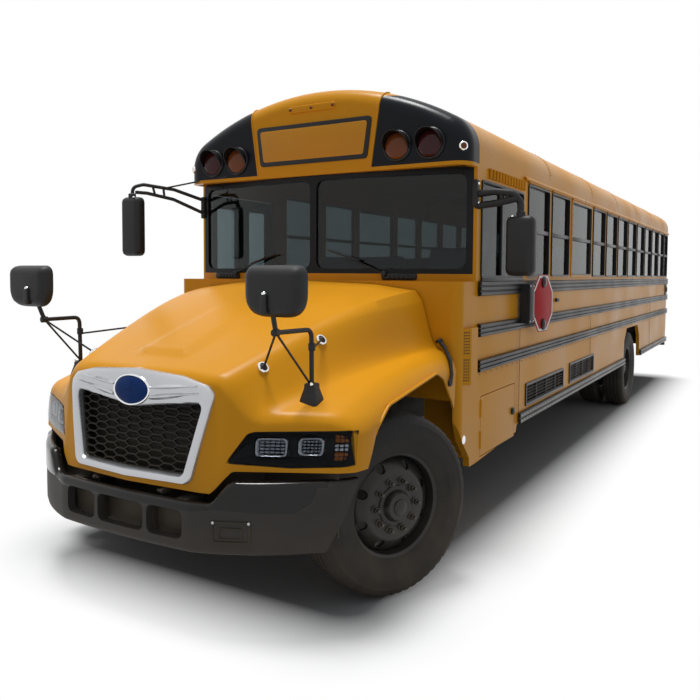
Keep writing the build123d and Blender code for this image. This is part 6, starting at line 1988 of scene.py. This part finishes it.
def build_floor():
    """A pale floor that fades to the white of the backdrop, its colour darkened near the bus as a painted
    contact shadow.
    """
    mesh = bpy.data.meshes.new("floor")
    corners = [(-FLOOR_HALF, -FLOOR_HALF, 0), (FLOOR_HALF, -FLOOR_HALF, 0), (FLOOR_HALF, FLOOR_HALF, 0),
               (-FLOOR_HALF, FLOOR_HALF, 0)]
    mesh.from_pydata(corners, [], [(0, 1, 2, 3)])
    floor = bpy.data.objects.new("floor", mesh)
    bpy.context.scene.collection.objects.link(floor)
    material = bpy.data.materials.new("pale_floor")
    material.use_nodes = True
    tree = material.node_tree
    tree.nodes.remove(tree.nodes["Principled BSDF"])
    shades = [tree.nodes.new("ShaderNodeBsdfDiffuse") for _ in range(2)]
    shades[0].inputs["Color"].default_value = (FLOOR_BOUNCE, FLOOR_BOUNCE, FLOOR_BOUNCE, 1)
    glow = tree.nodes.new("ShaderNodeEmission")
    glow.inputs["Color"].default_value = (1, 1, 1, 1)
    axes = object_axes(tree)
    squares = []
    for axis, half in zip("XY", FLOOR_CORE):
        off = math_node(tree, "SUBTRACT", math_node(tree, "ABSOLUTE", axes[axis]), half)
        squares.append(math_node(tree, "POWER", math_node(tree, "MAXIMUM", off, 0.0), 2.0))
    reach = math_node(tree, "SQRT", math_node(tree, "ADD", *squares))
    fade = map_value(tree, reach, 0.0, 1.0, *FLOOR_FADE)
    seen = seen_rays(tree)
    # The seen floor colour darkens towards the bus: a painted contact shadow.
    pale = blend_colour(tree, map_value(tree, reach, 0.0, 1.0, 0.1, FLOOR_FADE[1]), (FLOOR_PAINTED_SHADOW,) * 3,
                        (FLOOR_SEEN,) * 3)
    tree.links.new(pale, shades[1].inputs["Color"])
    floor_shade = mix_shaders(tree, seen, *[matte.outputs["BSDF"] for matte in shades])
    shade = mix_shaders(tree, math_node(tree, "MULTIPLY", fade, seen), floor_shade, glow.outputs["Emission"])
    tree.links.new(shade, tree.nodes["Material Output"].inputs["Surface"])
    mesh.materials.append(material)


SKY_LIGHT = 0.35
SUN_FROM, SUN_POWER, SUN_SPREAD = (-0.16, 0.06, 0.98), 2.75, math.radians(18)


def build_light():
    """A soft white sky and one broad high light from the bus's right and rear."""
    world = bpy.data.worlds.new("studio")
    bpy.context.scene.world = world
    world.use_nodes = True
    tree = world.node_tree
    back = tree.nodes["Background"]
    back.inputs["Color"].default_value = (0.93, 0.96, 1.0, 1)
    back.inputs["Strength"].default_value = SKY_LIGHT
    white = tree.nodes.new("ShaderNodeBackground")
    white.inputs["Color"].default_value = (1, 1, 1, 1)
    shade = mix_shaders(tree, seen_rays(tree), back.outputs["Background"], white.outputs["Background"])
    tree.links.new(shade, tree.nodes["World Output"].inputs["Surface"])
    data = bpy.data.lights.new("key", "SUN")
    data.energy = SUN_POWER
    data.angle = SUN_SPREAD
    lamp = bpy.data.objects.new("key", data)
    bpy.context.scene.collection.objects.link(lamp)
    lamp.rotation_euler = Vector(SUN_FROM).to_track_quat("Z", "Y").to_euler()


class BUS_OT_finishes(bpy.types.Operator):
    """Mix the finishes and paint the frame's solids"""

    bl_idname = "bus.finishes"
    bl_label = "Finishes"

    def execute(self, context):
        build_materials(context.scene.bus_colours)
        paint_nodes()
        return {"FINISHED"}


class BUS_OT_tyres(bpy.types.Operator):
    """Make the ribbed tyres"""

    bl_idname = "bus.tyres"
    bl_label = "Tyres"

    def execute(self, context):
        build_tyres(context.scene.bus_sizes)
        return {"FINISHED"}


class BUS_OT_wheels(bpy.types.Operator):
    """Make the disc wheels and their hubs"""

    bl_idname = "bus.wheels"
    bl_label = "Wheels"

    def execute(self, context):
        build_wheels()
        return {"FINISHED"}


class BUS_OT_hood(bpy.types.Operator):
    """Make the tilting nose, its latches and its arch lips"""

    bl_idname = "bus.hood"
    bl_label = "Hood"

    def execute(self, context):
        build_hood(context.scene.bus_sizes)
        build_nose_fittings()
        return {"FINISHED"}


class BUS_OT_grille(bpy.types.Operator):
    """Make the grille surround, its plain oval and the radiator"""

    bl_idname = "bus.grille"
    bl_label = "Grille"

    def execute(self, context):
        build_grille()
        return {"FINISHED"}


class BUS_OT_headlights(bpy.types.Operator):
    """Make the headlights"""

    bl_idname = "bus.headlights"
    bl_label = "Headlights"

    def execute(self, context):
        build_headlights()
        return {"FINISHED"}


class BUS_OT_bumper(bpy.types.Operator):
    """Make the front bumper and the shields behind it"""

    bl_idname = "bus.bumper"
    bl_label = "Front bumper"

    def execute(self, context):
        build_bumper()
        return {"FINISHED"}


class BUS_OT_windows(bpy.types.Operator):
    """Make the window frames, sash bars and drip edges"""

    bl_idname = "bus.windows"
    bl_label = "Windows"

    def execute(self, context):
        build_windows(context.scene.bus_sizes)
        return {"FINISHED"}


class BUS_OT_bands(bpy.types.Operator):
    """Make the ribbed bands, seams and rivets"""

    bl_idname = "bus.bands"
    bl_label = "Side bands"

    def execute(self, context):
        build_rails(context.scene.bus_sizes)
        return {"FINISHED"}


class BUS_OT_roof(bpy.types.Operator):
    """Make the lapped roof sheets"""

    bl_idname = "bus.roof"
    bl_label = "Roof laps"

    def execute(self, context):
        build_roof_trim(context.scene.bus_sizes)
        return {"FINISHED"}


class BUS_OT_cap(bpy.types.Operator):
    """Make the blank sign, lamp hoods and lenses"""

    bl_idname = "bus.cap"
    bl_label = "Roof cap"

    def execute(self, context):
        build_cap()
        return {"FINISHED"}


class BUS_OT_wipers(bpy.types.Operator):
    """Make the windshield wipers"""

    bl_idname = "bus.wipers"
    bl_label = "Wipers"

    def execute(self, context):
        build_wipers()
        return {"FINISHED"}


class BUS_OT_mirrors(bpy.types.Operator):
    """Make the outside and fender mirrors"""

    bl_idname = "bus.mirrors"
    bl_label = "Mirrors"

    def execute(self, context):
        build_outside_mirrors()
        build_fender_mirrors()
        return {"FINISHED"}


class BUS_OT_stop_sign(bpy.types.Operator):
    """Make the blank stop sign and its box cover"""

    bl_idname = "bus.stop_sign"
    bl_label = "Stop sign"

    def execute(self, context):
        build_stop_sign()
        return {"FINISHED"}


class BUS_OT_fittings(bpy.types.Operator):
    """Make the skirt grilles, markers and latches"""

    bl_idname = "bus.fittings"
    bl_label = "Side fittings"

    def execute(self, context):
        build_fittings()
        return {"FINISHED"}


class BUS_OT_engine(bpy.types.Operator):
    """Dress the engine under the nose"""

    bl_idname = "bus.engine"
    bl_label = "Engine bay"

    def execute(self, context):
        build_engine()
        return {"FINISHED"}


class BUS_OT_seats(bpy.types.Operator):
    """Make the padded benches and the driver's seat"""

    bl_idname = "bus.seats"
    bl_label = "Seats"

    def execute(self, context):
        build_seats()
        return {"FINISHED"}


class BUS_OT_rear(bpy.types.Operator):
    """Make the rear frames, door handle and entrance frames"""

    bl_idname = "bus.rear"
    bl_label = "Rear and doors"

    def execute(self, context):
        build_rear()
        return {"FINISHED"}


class BUS_OT_stage(bpy.types.Operator):
    """Set the camera, the light and the floor"""

    bl_idname = "bus.stage"
    bl_label = "Stage"

    def execute(self, context):
        context.scene.view_settings.view_transform = "Standard"
        build_camera()
        build_floor()
        build_light()
        return {"FINISHED"}


OPERATORS = (BUS_OT_finishes, BUS_OT_tyres, BUS_OT_wheels, BUS_OT_hood, BUS_OT_grille, BUS_OT_headlights,
             BUS_OT_bumper, BUS_OT_windows, BUS_OT_bands, BUS_OT_roof, BUS_OT_cap, BUS_OT_wipers,
             BUS_OT_mirrors, BUS_OT_stop_sign, BUS_OT_fittings, BUS_OT_engine, BUS_OT_seats, BUS_OT_rear,
             BUS_OT_stage)


class BUS_PT_pieces(bpy.types.Panel):
    """Lists the pieces of the bus"""

    bl_idname = "BUS_PT_pieces"
    bl_label = "School Bus"
    bl_space_type = "VIEW_3D"
    bl_region_type = "UI"
    bl_category = "School Bus"

    def draw(self, context):
        for operator in OPERATORS:
            self.layout.operator(operator.bl_idname)
        for group in (context.scene.bus_colours, context.scene.bus_sizes):
            box = self.layout.box()
            for name in group.__annotations__:
                box.prop(group, name)


CLASSES = (BusColours, BusSizes, *OPERATORS, BUS_PT_pieces)


def register():
    for each in CLASSES:
        bpy.utils.register_class(each)
    bpy.types.Scene.bus_colours = bpy.props.PointerProperty(type=BusColours)
    bpy.types.Scene.bus_sizes = bpy.props.PointerProperty(type=BusSizes)


def unregister():
    del bpy.types.Scene.bus_sizes
    del bpy.types.Scene.bus_colours
    for each in reversed(CLASSES):
        bpy.utils.unregister_class(each)


def main():
    register()
    for operator in OPERATORS:
        area, name = operator.bl_idname.split(".")
        getattr(getattr(bpy.ops, area), name)()


if __name__ == "__main__":
    main()
